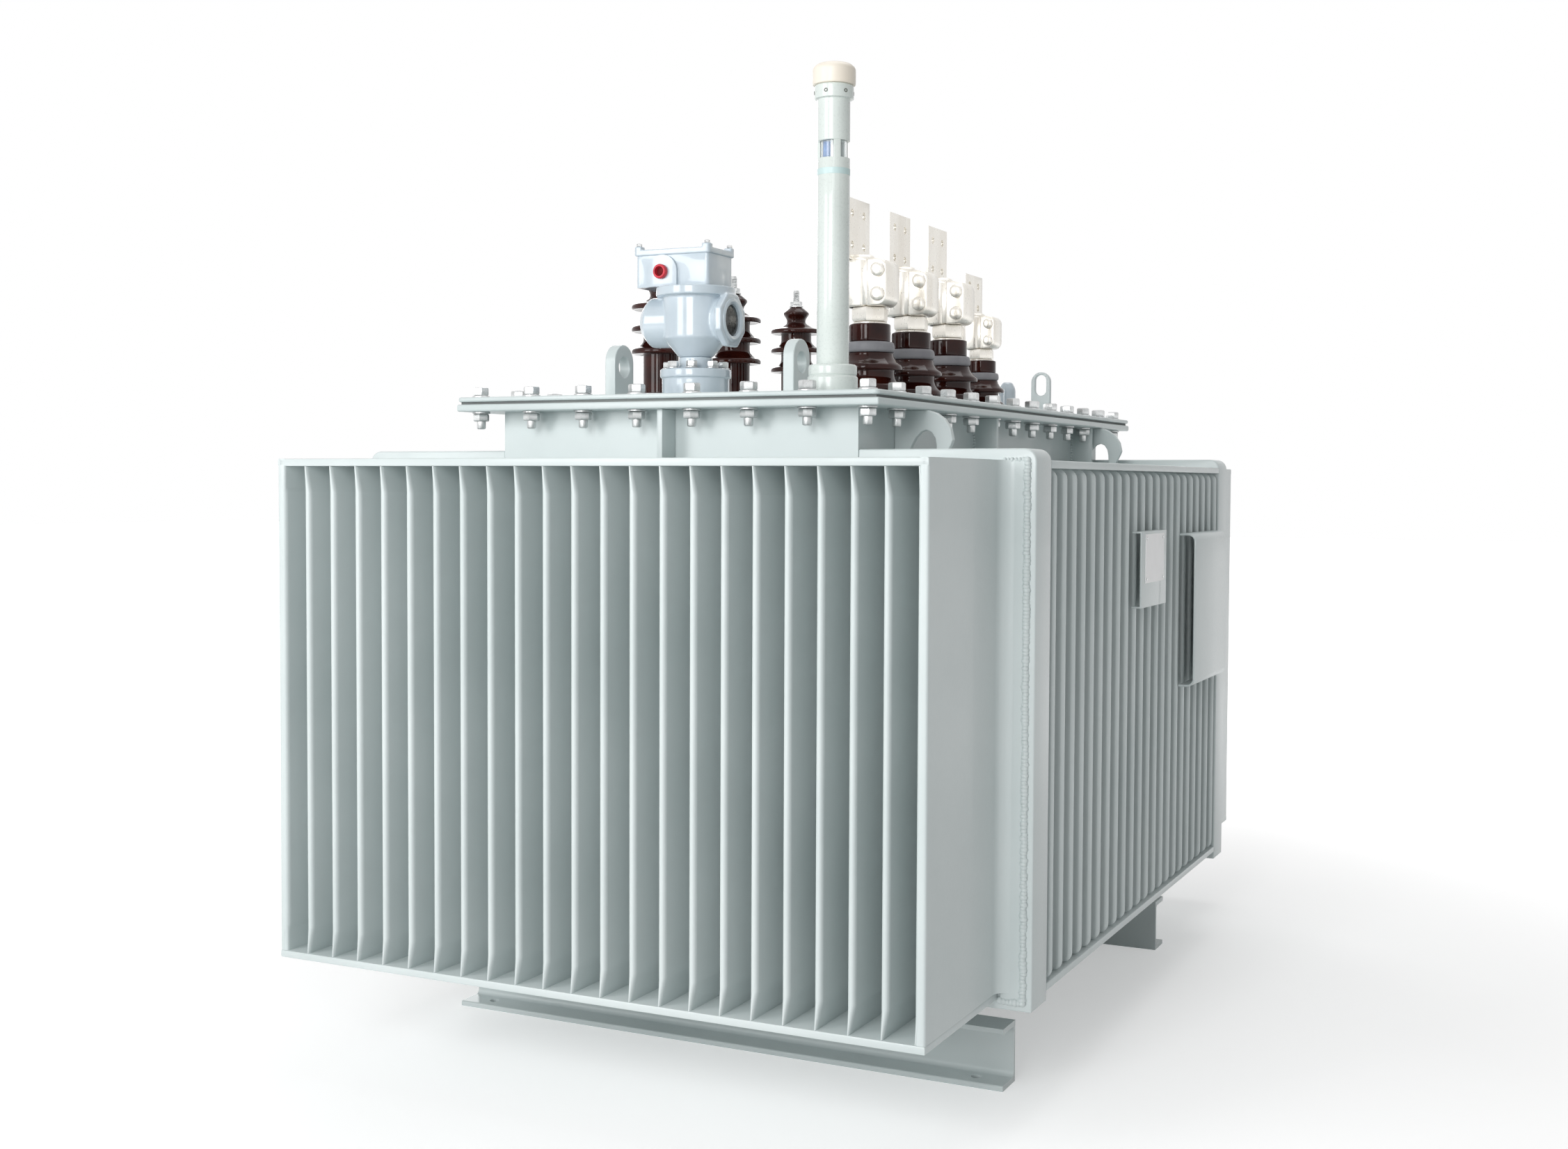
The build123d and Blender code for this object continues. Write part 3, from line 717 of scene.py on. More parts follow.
@dataclass(frozen=True)
class HexFastener:
    """A hexagon nut or bolt head on its washer, standing on a surface and pointing up."""

    flats: float = 0.024
    height: float = 0.014
    washer: float = 0.030
    washer_height: float = 0.003
    washer_sides: int = 20
    washer_edge: float = 0.0006
    corner_share: float = 0.1
    shank: float = 0.0
    shank_radius: float = 0.0075
    shank_sides: int = 12
    shank_taper: float = 0.35
    edge_steps: int = 2

    def build(self) -> Piece:
        """Model washer, hexagon and the end of the shank.

        Returns:
            One piece that stands on the plane z = 0.
        """
        disc = prism(self.washer_sides, self.washer / 2, self.washer_height, Vector())
        washer = soften(disc, self.washer_edge, steps=1)
        hexagon = prism(6, self.flats / math.sqrt(3), self.height, Vector((0, 0, self.washer_height)))
        corner = self.flats * self.corner_share
        bevel(hexagon, Element.EDGE, lambda middle, way: abs(way.z) < ALONG, corner, self.edge_steps)
        parts = [washer, hexagon]
        if self.shank:
            top = self.washer_height + self.height
            end = prism(self.shank_sides, self.shank_radius, self.shank, Vector((0, 0, top)))
            taper = self.shank_radius * self.shank_taper
            bevel(end, Element.FACE, lambda middle, normal: normal.z > ALONG, taper, self.edge_steps)
            parts.append(end)
        return join(parts)


@dataclass
class WeldSeam:
    """A rippled weld bead laid along a straight line."""

    start: Vector
    end: Vector
    radius: float = 0.005
    step: float = 0.0055
    ripple_length: float = 0.8
    ripple_sizes: tuple[float, float] = (0.86, 1.12)
    sway: float = 0.12

    def build(self, seed: int) -> Piece:
        """Lay overlapping ripples from start to end.

        Args:
            seed: starting value of the slight unevenness.

        Returns:
            The bead as one mesh.
        """
        uneven = random.Random(seed)
        deselect()
        bpy.ops.mesh.primitive_uv_sphere_add(segments=8, ring_count=6, radius=self.radius)
        ripple = bpy.context.object
        ripple.scale = (1.0, 1.0, self.ripple_length)
        apply_place(ripple)
        line = self.end - self.start
        turn = line.to_track_quat("Z", "Y").to_matrix().to_4x4()
        count = max(2, round(line.length / self.step))
        places = []
        for i in range(count + 1):
            size = Matrix.Scale(uneven.uniform(*self.ripple_sizes), 4)
            aside = Vector((uneven.uniform(-1, 1), uneven.uniform(-1, 1), 0)) * self.radius * self.sway
            places.append(Matrix.Translation(self.start + line * (i / count)) @ turn @ shift(*aside) @ size)
        return repeat(ripple, places)


# Sub-assemblies


@dataclass
class CoolingWalls:
    """Four banks of pressed fins between their closing plates, and the headers at the tank's corners."""

    end_pitch: float = 0.050
    side_pitch: float = 0.0525
    thickness: float = 0.012
    tip_share: float = 0.96
    tip_stretch: float = 1.4
    side_corner: float = 0.016
    round_steps: int = 5
    end_thickness: float = 0.0034
    press_height: float = 0.040
    press_crease: float = 0.0015
    root_length: float = 0.010
    root_flare: float = 2.1
    root_middle: float = 0.45
    middle_flare: float = 1.25
    sheet_cover: float = 0.9
    sheet_proud: float = 0.0042
    sheet_round: float = 0.0055
    bend_radius: float = 0.020
    bend_steps: int = 8
    lap_sheet: float = 0.003
    lap_edge: float = 0.014
    lap_gap: float = 0.008
    lap_round: float = 0.0012
    bead: float = 0.0062
    bead_seat: float = 0.001
    head_bead: float = 0.6
    bead_seeds: tuple[int, ...] = (7, 31, 61)
    plate_round: float = 0.0022
    header_round: float = 0.003

    def one_fin(self, bank: str, depth: float, corner: float) -> Piece:
        """Model one fin: rounded tip, ends pressed thin, sheet bent outwards at the root.

        Args:
            bank: node whose height the fin takes.
            depth: distance from root to tip.
            corner: rounding of the tip's upper and lower corner, 0 for none.

        Returns:
            The fin on x = 0 with its root on y = 0 and its tip towards the front.
        """
        low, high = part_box(bank)
        half = self.thickness / 2
        fin = block((-half, -depth, low.z), (half, 0, high.z))
        if corner:
            bevel(
                fin, Element.EDGE, lambda middle, way: abs(way.x) > ALONG and middle.y < -depth / 2,
                corner, self.round_steps,
            )
        tip = corner + TINY - depth
        bevel(
            fin, Element.EDGE, lambda middle, way: abs(way.x) < ALONG and middle.y < tip,
            half * self.tip_share, self.round_steps,
        )
        if not corner:
            pick(fin, Element.VERT, lambda at, normal: at.y < half - depth)
            bpy.ops.transform.resize(value=(1, self.tip_stretch, 1), center_override=(0, -depth, 0))
            done()
        for inset in (self.press_height, self.press_height + self.press_crease):
            for level in (low.z + inset, high.z - inset):
                cut(fin, (0, 0, level), (0, 0, 1))
        middle_root = self.root_length * self.root_middle
        for root in (self.root_length, middle_root):
            cut(fin, (0, -root, 0), (0, 1, 0))
        ratio = self.end_thickness / self.thickness
        self.squeeze(fin, lambda at: min(at.z - low.z, high.z - at.z) < TINY, ratio, -half)
        self.squeeze(fin, lambda at: at.y > -TINY, self.root_flare)
        self.squeeze(fin, lambda at: abs(at.y + middle_root) < TINY, self.middle_flare)
        return fin

    @staticmethod
    def squeeze(fin: Piece, test: Callable[[Vector], bool], ratio: float, still: float = 0.0) -> None:
        """Scale the thickness of a fin in some places.

        Args:
            fin: the fin.
            test: says which points move.
            ratio: new thickness against the old.
            still: the plane, by its x, that stays.
        """
        pick(fin, Element.VERT, lambda at, normal: test(at))
        bpy.ops.transform.resize(value=(ratio, 1, 1), center_override=(still, 0, 0))
        done()

    def fins(self, bank: str, direction: Direction) -> None:
        """Build one bank of fins in place of its node.

        Args:
            bank: the node.
            direction: the side of the tank that it stands on.
        """
        low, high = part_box(bank)
        ends = direction in (Direction.FRONT, Direction.REAR)
        length = high.x - low.x if ends else high.y - low.y
        pitch = self.end_pitch if ends else self.side_pitch
        depth = high.y - low.y if ends else high.x - low.x
        roots = {
            Direction.FRONT: high.y,
            Direction.REAR: low.y,
            Direction.RIGHT: low.x,
            Direction.LEFT: high.x,
        }
        root = roots[direction]
        count = round((length - self.thickness) / pitch) + 1
        places = []
        for i in range(count):
            along = (i - (count - 1) / 2) * pitch
            x, y = (along, root) if ends else (root, along)
            places.append(shift(x, y) @ spun(direction.value))
        model = self.one_fin(bank, depth, 0.0 if ends else self.side_corner)
        dress(repeat(model, places), f"pressed_{bank}", GREY_PAINT, bank, shading=Shading.CURVED)

    @staticmethod
    def sheet_ends() -> tuple[float, float]:
        """Lower and upper end of the upright sheets, at the closing plates."""
        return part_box("fin_bottom_plates")[1].z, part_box("fin_top_plates")[1].z

    def end_sheets(self) -> None:
        """Flat sheets that close the outermost fins of the end banks."""
        sheets = []
        bottom, top = self.sheet_ends()
        for bank in ("front_fins", "rear_fins"):
            low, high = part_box(bank)
            tip, root = (low.y, high.y) if bank == "front_fins" else (high.y, low.y)
            for side in (-1, 1):
                inner = side * (high.x - self.thickness * self.sheet_cover)
                outer = side * (high.x + self.sheet_proud)
                corners = [(inner, -root), (inner, -tip), (outer, -tip), (outer, -root)]
                sheet = column(rounded(corners, self.sheet_round), top - bottom)
                sheets.append(repeat(sheet, [shift(z=(top + bottom) / 2)]))
        dress(join(sheets), "fin_end_sheets", GREY_PAINT)

    def bends(self) -> None:
        """Hollow bends that carry the outermost fins over into the header sheets."""
        radius = self.bend_radius
        turn = [math.radians(90 * i / self.bend_steps) for i in range(self.bend_steps + 1)]
        arc = [(radius - radius * math.sin(t), radius - radius * math.cos(t)) for t in turn]
        outline = [(0, -self.lap_sheet), (radius, -self.lap_sheet), *arc]
        bottom, top = self.sheet_ends()
        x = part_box("front_fins")[1].x + self.sheet_proud
        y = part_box("front_headers")[0].y - self.lap_sheet
        strips = []
        for hand in (-1, 1):
            strip = column([(hand * u, v) for u, v in outline], top - bottom)
            at = shift(hand * x, y, (top + bottom) / 2)
            strips.append(repeat(strip, [at, spun(180) @ at]))
        dress(join(strips), "fin_root_bends", GREY_PAINT, shading=Shading.CURVED)

    def laps(self) -> None:
        """Lapped sheets on the headers, each welded at its outer edge, foot and head."""
        sheets, beads = [], []
        fin_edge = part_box("front_fins")[1].x + self.lap_gap
        top = self.sheet_ends()[1]
        for node, side in (("front_headers", -1), ("rear_headers", 1)):
            low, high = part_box(node)
            face = low.y if side < 0 else high.y
            near = face + side * self.lap_sheet
            y = face + side * self.bead_seat
            bottom = low.z + self.lap_edge
            for hand in (-1, 1):
                outer = hand * (high.x - self.lap_edge)
                inner = hand * fin_edge
                sheet = block(
                    (min(inner, outer), min(face, near), bottom),
                    (max(inner, outer), max(face, near), top),
                )
                sheets.append(soften(sheet, self.lap_round, steps=1))
                foot_in, foot_out = Vector((inner, y, bottom)), Vector((outer, y, bottom))
                head_in, head_out = Vector((inner, y, top)), Vector((outer, y, top))
                seams = (
                    WeldSeam(foot_out, head_out, self.bead),
                    WeldSeam(foot_in, foot_out, self.bead),
                    WeldSeam(head_in, head_out, self.bead * self.head_bead),
                )
                for seam, seed in zip(seams, self.bead_seeds):
                    beads.append(seam.build(seed + hand + 3 * side))
        dress(join(sheets), "header_lap_sheets", GREY_PAINT)
        dress(join(beads), "header_weld_beads", GREY_PAINT, shading=Shading.BEAD)

    def build(self) -> None:
        """Build fins, plates, headers and their welds."""
        self.fins("front_fins", Direction.FRONT)
        self.fins("rear_fins", Direction.REAR)
        self.fins("right_fins", Direction.RIGHT)
        self.fins("left_fins", Direction.LEFT)
        self.end_sheets()
        self.bends()
        for node in ("fin_top_plates", "fin_bottom_plates"):
            dress_copy(node, f"folded_{node}", GREY_PAINT, self.plate_round)
        for node in ("front_headers", "rear_headers"):
            dress_copy(node, f"welded_{node}", GREY_PAINT, self.header_round, steps=3)
        self.laps()


@dataclass
class TankTop:
    """Flange and lid with their ring of bolts, ribs, hooks and lifting lugs."""

    plate_round: float = 0.003
    end_bolts: int = 8
    side_bolts: int = 13
    bolt_inset: float = 0.029
    end_bolt_reach: float = 0.355
    bolt_head: HexFastener = HexFastener()
    bolt_nut: HexFastener = HexFastener(height=0.013, shank=0.013)
    bolt_seed: int = 5
    rib_places: tuple[float, ...] = (-0.128, 0.471)
    rib_half: float = 0.005
    rib_round: float = 0.0018
    rib_bead: float = 0.0035
    rib_seed: int = 50
    front_lug: tuple[float, ...] = (0.168, -0.540, 0.020, 0.062)  # x, y, width and length of its foot
    rear_lug: tuple[float, ...] = (0.205, 0.640, 0.044, 0.010)
    lug_round: float = 0.002
    lug_bead: float = 0.004
    lug_seed: int = 90
    hook_outline: Profile = (  # out from the wall, and up from the flange's underside
        (0.000, 0.000), (0.056, 0.000), (0.072, -0.005), (0.086, -0.015), (0.096, -0.030), (0.100, -0.048),
        (0.097, -0.056), (0.086, -0.076), (0.082, -0.078), (0.076, -0.077), (0.073, -0.073), (0.072, -0.056),
        (0.070, -0.045), (0.064, -0.036), (0.055, -0.032), (0.046, -0.035), (0.037, -0.044), (0.029, -0.058),
        (0.024, -0.078), (0.000, -0.078),
    )
    hook_thickness: float = 0.012
    hook_round: float = 0.0018
    cap_place: Point = (0.190, 0.452)
    cap_radius: float = 0.018
    cap_foot_radius: float = 0.0234
    cap_foot_height: float = 0.008
    cap_step: float = 0.002
    cap_height: float = 0.074
    cap_shoulder: float = 0.0592
    cap_crown: float = 0.0108
    cap_round: float = 0.006

    def bolt_places(self) -> list[Point]:
        """Places of the lid bolts, all round the edge.

        Returns:
            The x and y of each bolt.
        """
        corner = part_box("lid")[1]
        row_x = corner.x - self.bolt_inset
        row_y = corner.y - self.bolt_inset
        across = [self.end_bolt_reach * (2 * i / (self.end_bolts - 1) - 1) for i in range(self.end_bolts)]
        along = [row_y * (2 * i / (self.side_bolts - 1) - 1) for i in range(1, self.side_bolts - 1)]
        places = [(x, side * row_y) for side in (-1, 1) for x in across]
        return places + [(side * row_x, y) for side in (-1, 1) for y in along]

    def bolts(self) -> None:
        """Bolt heads on the lid, and nuts with the ends of the shanks under the flange."""
        lid_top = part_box("lid")[1].z
        flange_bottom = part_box("tank_flange")[0].z
        places = self.bolt_places()
        uneven = random.Random(self.bolt_seed)
        turns = [uneven.uniform(0, 60) for _ in places]
        heads = [shift(x, y, lid_top) @ spun(turn) for (x, y), turn in zip(places, turns)]
        dress(repeat(self.bolt_head.build(), heads), "lid_bolt_heads", ZINC)
        over = Matrix.Rotation(math.pi, 4, "X")
        nuts = [shift(x, y, flange_bottom) @ over @ spun(turn) for (x, y), turn in zip(places, turns)]
        dress(repeat(self.bolt_nut.build(), nuts), "lid_bolt_nuts", ZINC)

    def welds(self) -> None:
        """Beads where ribs and lugs meet the tank."""
        beads = []
        neck_low, neck_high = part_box("neck_ribs")
        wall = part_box("front_wall")[1].x
        lid_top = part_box("lid")[1].z
        ring = [(-1, -1), (1, -1), (1, 1), (-1, 1), (-1, -1)]
        for side in (-1, 1):
            for y in self.rib_places:
                start, end = (Vector((side * wall, y - self.rib_half, z)) for z in (neck_low.z, neck_high.z))
                beads.append(WeldSeam(start, end, self.rib_bead).build(self.rib_seed + len(beads)))
            for x, y, width, length in (self.front_lug, self.rear_lug):
                corners = [Vector((side * x + i * width / 2, y + j * length / 2, lid_top)) for i, j in ring]
                for start, end in zip(corners, corners[1:]):
                    beads.append(WeldSeam(start, end, self.lug_bead).build(self.lug_seed + len(beads)))
        dress(join(beads), "tank_weld_beads", GREY_PAINT, shading=Shading.BEAD)

    def hooks(self) -> None:
        """Cut one hook and set it at both ends of both sides, under the flange."""
        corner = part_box("lifting_hooks")[1]
        wall = corner.x - max(x for x, _ in self.hook_outline)
        model = soften(plate(self.hook_outline, self.hook_thickness), self.hook_round)
        places = []
        for end in (-1, 1):
            y = end * (corner.y - self.hook_thickness / 2)
            places.append(shift(wall, y, corner.z))
            places.append(shift(-wall, y, corner.z) @ spun(180))
        hooks = repeat(model, places)
        dress(hooks, "flame_cut_lifting_hooks", GREY_PAINT, "lifting_hooks", shading=Shading.FLAT_PLATE)

    def lid_cap(self) -> None:
        """Turn the small round-topped cap that stands behind the terminals."""
        foot, step, radius = self.cap_foot_radius, self.cap_foot_height, self.cap_radius
        profile = [(0, 0), (foot, 0), (foot, step), (radius, step + self.cap_step)]
        profile += [(radius, self.cap_shoulder), (self.cap_crown, self.cap_height), (0, self.cap_height)]
        base = Vector((*self.cap_place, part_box("lid")[1].z))
        dress(lathe(rounded(profile, self.cap_round), base, sides=32), "lid_pocket_cap", RELAY_PAINT)

    def build(self) -> None:
        """Build the lid's plates, their bolts and the lifting gear."""
        dress_copy("lid", "rolled_edge_lid", GREY_PAINT, self.plate_round, steps=3)
        dress_copy("tank_flange", "welded_tank_flange", GREY_PAINT, self.plate_round, steps=3)
        dress_copy("neck_ribs", "plate_neck_ribs", GREY_PAINT, self.rib_round)
        self.hooks()
        dress_copy(
            "lid_lifting_lugs", "round_top_lifting_lugs", GREY_PAINT, self.lug_round,
            shading=Shading.FLAT_PLATE,
        )
        self.lid_cap()
        self.bolts()
        self.welds()


@dataclass
class HighVoltageRow:
    """Three ribbed porcelain bushings, each clamped at its foot and carrying a threaded stud."""

    letters: str = "abc"
    foot_radius: float = 0.044
    foot_height: float = 0.014
    foot_slope: float = 0.006
    body_radius: float = 0.0325
    shed_radius: float = 0.0545
    shed_heights: tuple[float, ...] = (0.094, 0.135, 0.176)
    shed_lip: float = 0.010
    shed_rise: float = 0.024
    shed_droop: float = 0.005
    shed_shoulder: float = 0.0035
    lip_round: float = 0.0052
    neck_radius: float = 0.020
    neck_height: float = 0.208
    cap_radius: float = 0.029
    cap_height: float = 0.026
    cap_top_radius: float = 0.0133
    ring_gap: float = 0.002
    ring_edge: float = 0.008
    ring_height: float = 0.010
    ring_round: float = 0.0015
    clamp_bolts: int = 4
    clamp_turn: float = 45.0
    clamp_reach: float = 0.006
    clamp_lug: Triple = (0.024, 0.020, 0.007)
    clamp_round: float = 0.002
    post_radius: float = 0.006
    post_edge: float = 0.0006
    clamp_nut: HexFastener = HexFastener(
        flats=0.013, height=0.008, washer=0.018, washer_height=0.002, shank=0.006, shank_radius=0.004
    )
    stud_radius: float = 0.007
    stud_point: float = 0.75
    stud_nut: HexFastener = HexFastener(flats=0.022, height=0.010)
    thread: float = 0.003
    thread_root: float = 0.86
    thread_share: float = 0.9

    def porcelain(self, base: Vector) -> Piece:
        """Turn the glazed body with its drooping sheds.

        Args:
            base: middle of the bushing's foot.

        Returns:
            The body.
        """
        outline = [(0, 0), (self.foot_radius, 0), (self.foot_radius, self.foot_height)]
        outline.append((self.body_radius, self.foot_height + self.foot_slope))
        for height in self.shed_heights:
            inner = self.neck_radius if height == self.shed_heights[-1] else self.body_radius
            lip = height + self.shed_lip
            outline.append((self.body_radius, height + self.shed_droop))
            outline += [(self.shed_radius, height), (self.shed_radius, lip)]
            outline.append(((inner + self.shed_radius) / 2, lip + self.shed_shoulder))
            outline.append((inner, height + self.shed_rise))
        top = self.neck_height + self.cap_height
        outline.append((self.neck_radius, self.neck_height))
        outline.append((self.cap_radius, self.neck_height + self.cap_height / 2))
        outline += [(self.cap_top_radius, top), (0, top)]
        return lathe(rounded(outline, self.lip_round, steps=5), base, sides=56)

    def stud(self, base: Vector, height: float) -> Piece:
        """Turn a threaded stud with a nut and washer at its foot.

        Args:
            base: middle of the stud's foot.
            height: its length.

        Returns:
            The stud with its nut.
        """
        outline = [(0, 0), (self.stud_radius, 0)]
        for i in range(int(height * self.thread_share / self.thread)):
            outline.append((self.stud_radius * self.thread_root, (i + 0.5) * self.thread))
            outline.append((self.stud_radius, (i + 1.0) * self.thread))
        outline += [(self.stud_radius * self.stud_point, height), (0, height)]
        nut = repeat(self.stud_nut.build(), [Matrix.Translation(base)])
        return join([lathe(outline, base, sides=20), nut])

    def clamp(self, base: Vector, seat: float, radius: float) -> tuple[list[Piece], list[Matrix]]:
        """Model the clamp ring of one bushing with its lugs and their posts.

        Args:
            base: middle of the bushing's foot.
            seat: height of the ring above the foot.
            radius: outer radius of the ring.

        Returns:
            The pieces of the clamp, and the places of its nuts.
        """
        inner = self.body_radius + self.ring_gap
        outline = [(inner, seat), (radius, seat), (radius, seat + self.ring_edge)]
        outline += [(inner + self.ring_gap, seat + self.ring_height), (inner, seat)]
        pieces = [lathe(rounded(outline, self.ring_round, steps=2), base, sides=40)]
        nuts = []
        length, width, height = self.clamp_lug
        for degrees in ring_angles(self.clamp_bolts, self.clamp_turn):
            angle = math.radians(degrees)
            foot = base + Vector((math.cos(angle), math.sin(angle), 0)) * (radius + self.clamp_reach)
            lug = block((-length / 2, -width / 2, 0), (length / 2, width / 2, height))
            soften(lug, self.clamp_round)
            pieces.append(repeat(lug, [Matrix.Translation(foot + Vector((0, 0, seat))) @ spun(degrees)]))
            nuts.append(Matrix.Translation(foot + Vector((0, 0, seat + height))))
            post = prism(sides=10, radius=self.post_radius, height=seat, base=foot)
            pieces.append(soften(post, self.post_edge, steps=1))
        return pieces, nuts

    def build(self) -> None:
        """Build the three bushings with clamps and studs."""
        low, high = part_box("hv_studs")
        ring_low, ring_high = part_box("hv_clamp_rings")
        studs, clamps, nuts = [], [], []
        for letter in self.letters:
            node = f"hv_bushing_{letter}"
            base = foot_of(node)
            dress(self.porcelain(base), f"porcelain_{node}", BROWN_GLAZE, node, shading=Shading.CURVED)
            studs.append(self.stud(Vector((base.x, base.y, low.z)), high.z - low.z))
            pieces, places = self.clamp(base, ring_low.z - base.z, (ring_high.x - ring_low.x) / 2)
            clamps += pieces
            nuts += places
        dress(join(clamps), "hv_foot_clamps", ZINC, "hv_clamp_rings")
        dress(repeat(self.clamp_nut.build(), nuts), "hv_clamp_nuts", ZINC)
        dress(join(studs), "hv_threaded_studs", ZINC, "hv_studs")


@dataclass
class LowVoltageRow:
    """Four low bushings with a grey gasket, hexagon nut, split clamp and drilled palm."""

    letters: str = "abcn"
    neutral_size: float = 0.8
    base_radius: float = 0.044
    shed_radius: float = 0.058
    shed_heights: tuple[float, ...] = (0.018, 0.054)
    shed_lip: float = 0.009
    shed_rise: float = 0.026
    shed_droop: float = 0.004
    shoulder_out: float = 0.006
    shoulder_up: float = 0.008
    bell_top: float = 0.042
    bell_height: float = 0.086
    bell_round: float = 0.0045
    gasket_radius: float = 0.0445
    gasket_height: float = 0.019
    gasket_foot: float = 0.96
    gasket_head: float = 0.94
    gasket_round: float = 0.005
    collar_radius: float = 0.0365
    collar_height: float = 0.031
    collar_round: float = 0.003
    nut_flats: float = 0.057
    nut_height: float = 0.027
    nut_washer: float = 0.062
    nut_washer_height: float = 0.003
    nut_seat: float = 0.136
    nut_turn: float = 12.0
    clamp_low: Triple = (-0.044, -0.030, 0.166)
    clamp_high: Triple = (0.044, 0.030, 0.248)
    clamp_edge: float = 0.003
    jaw_round: float = 0.018
    jaw_steps: int = 7
    hub_round: float = 0.014
    hub_steps: int = 6
    seam_place: float = 0.004
    slit: float = 0.0024
    web_half: float = 0.012
    web_inset: float = 0.003
    web_drop: float = 0.002
    web_edge: float = 0.001
    boss_profile: Profile = ((0, 0.166), (0.024, 0.166), (0.024, 0.252), (0.019, 0.257), (0, 0.257))
    boss_place: float = -0.016
    boss_round: float = 0.003
    bolt_place: Point = (0.028, -0.030)
    bolt_heights: tuple[float, ...] = (0.186, 0.228)
    bolt_radius: float = 0.0125
    bolt_profile: Profile = ((0, 0), (1, 0), (1, 0.6), (0.6, 0.8), (0, 0.84))  # in radii
    bolt_round: float = 0.002
    palm_round: float = 0.0014

    def porcelain(self, base: Vector, size: float) -> Piece:
        """Turn the bell with its two drooping sheds and, above the gasket, the collar.

        Args:
            base: middle of the bushing's foot.
            size: size against the phase bushings.

        Returns:
            Bell and collar as one piece.
        """
        bell = [(0, 0), (self.base_radius, 0)]
        for height in self.shed_heights:
            inner = self.bell_top if height == self.shed_heights[-1] else self.base_radius
            lip = height + self.shed_lip
            bell.append((self.base_radius, height + self.shed_droop))
            bell += [(self.shed_radius, height), (self.shed_radius, lip)]
            bell.append((inner + self.shoulder_out, lip + self.shoulder_up))
            bell.append((inner, height + self.shed_rise))
        bell += [(self.bell_top, self.bell_height), (0, self.bell_height)]
        foot = self.bell_height + self.gasket_height
        top = foot + self.collar_height
        collar = [(0, foot), (self.collar_radius, foot), (self.collar_radius, top), (0, top)]
        parts = []
        for profile, radius, sides in ((bell, self.bell_round, 56), (collar, self.collar_round, 48)):
            parts.append(lathe(rounded(scaled(profile, size), radius * size), base, sides))
        return join(parts)

    def gasket(self, base: Vector, size: float) -> Piece:
        """Turn the soft ring between bell and collar.

        Args:
            base: middle of the bushing's foot.
            size: size against the phase bushings.

        Returns:
            The ring.
        """
        low, high, radius = self.bell_height, self.bell_height + self.gasket_height, self.gasket_radius
        ring = [(0, low), (radius * self.gasket_foot, low), (radius, (low + high) / 2)]
        ring += [(radius * self.gasket_head, high), (0, high)]
        return lathe(rounded(scaled(ring, size), self.gasket_round * size), base)

    def nut(self, base: Vector, size: float) -> Piece:
        """Model the hexagon nut on top of the collar.

        Args:
            base: middle of the bushing's foot.
            size: size against the phase bushings.

        Returns:
            The nut on its washer.
        """
        fastener = HexFastener(
            flats=self.nut_flats * size,
            height=self.nut_height * size,
            washer=self.nut_washer * size,
            washer_height=self.nut_washer_height * size,
        )
        place = Matrix.Translation(base) @ shift(z=self.nut_seat * size) @ spun(self.nut_turn)
        return repeat(fastener.build(), [place])

    def clamp(self, base: Vector, size: float) -> list[Piece]:
        """Model one clamp: an upright hub round the stud and a rounded jaw, with a seam between them.

        Args:
            base: middle of the bushing's foot.
            size: size against the phase bushings.

        Returns:
            Hub, jaw, the web between them and the round boss.
        """
        low = base + Vector(self.clamp_low) * size
        high = base + Vector(self.clamp_high) * size
        seam = base.x + self.seam_place * size
        edge = self.clamp_edge * size
        hub = block(low, Vector((seam - self.slit / 2, high.y, high.z)))
        bevel(
            hub, Element.EDGE, lambda middle, way: abs(way.z) > ALONG,
            self.hub_round * size, self.hub_steps,
        )
        jaw = block(Vector((seam + self.slit / 2, low.y, low.z)), high)
        beyond = (seam + high.x) / 2
        bevel(
            jaw, Element.EDGE, lambda middle, way: abs(way.y) > ALONG and middle.x > beyond,
            self.jaw_round * size, self.jaw_steps,
        )
        half, inset, drop = self.web_half * size, self.web_inset, self.web_drop
        web = block(
            Vector((seam - half, low.y + inset, low.z + drop)),
            Vector((seam + half, high.y - inset, high.z - drop)),
        )
        boss = rounded(scaled(self.boss_profile, size), self.boss_round)
        post = lathe(boss, base + Vector((self.boss_place * size, 0, 0)), sides=32)
        return [soften(hub, edge), soften(jaw, edge), soften(web, self.web_edge, steps=1), post]

    def round_head(self) -> Piece:
        """Turn one round bolt head with a slight dome."""
        head = scaled(self.bolt_profile, self.bolt_radius)
        return lathe(rounded(head, self.bolt_round, steps=3), Vector(), sides=28)

    def clamp_bolts(self, base: Vector, size: float) -> list[Matrix]:
        """Places of the bolts that close one clamp, heads towards the front.

        Args:
            base: middle of the bushing's foot.
            size: size against the phase bushings.

        Returns:
            One place for each bolt head.
        """
        places = []
        for height in self.bolt_heights:
            at = base + Vector((*self.bolt_place, height)) * size
            places.append(Matrix.Translation(at) @ quarter("X") @ Matrix.Scale(size, 4))
        return places

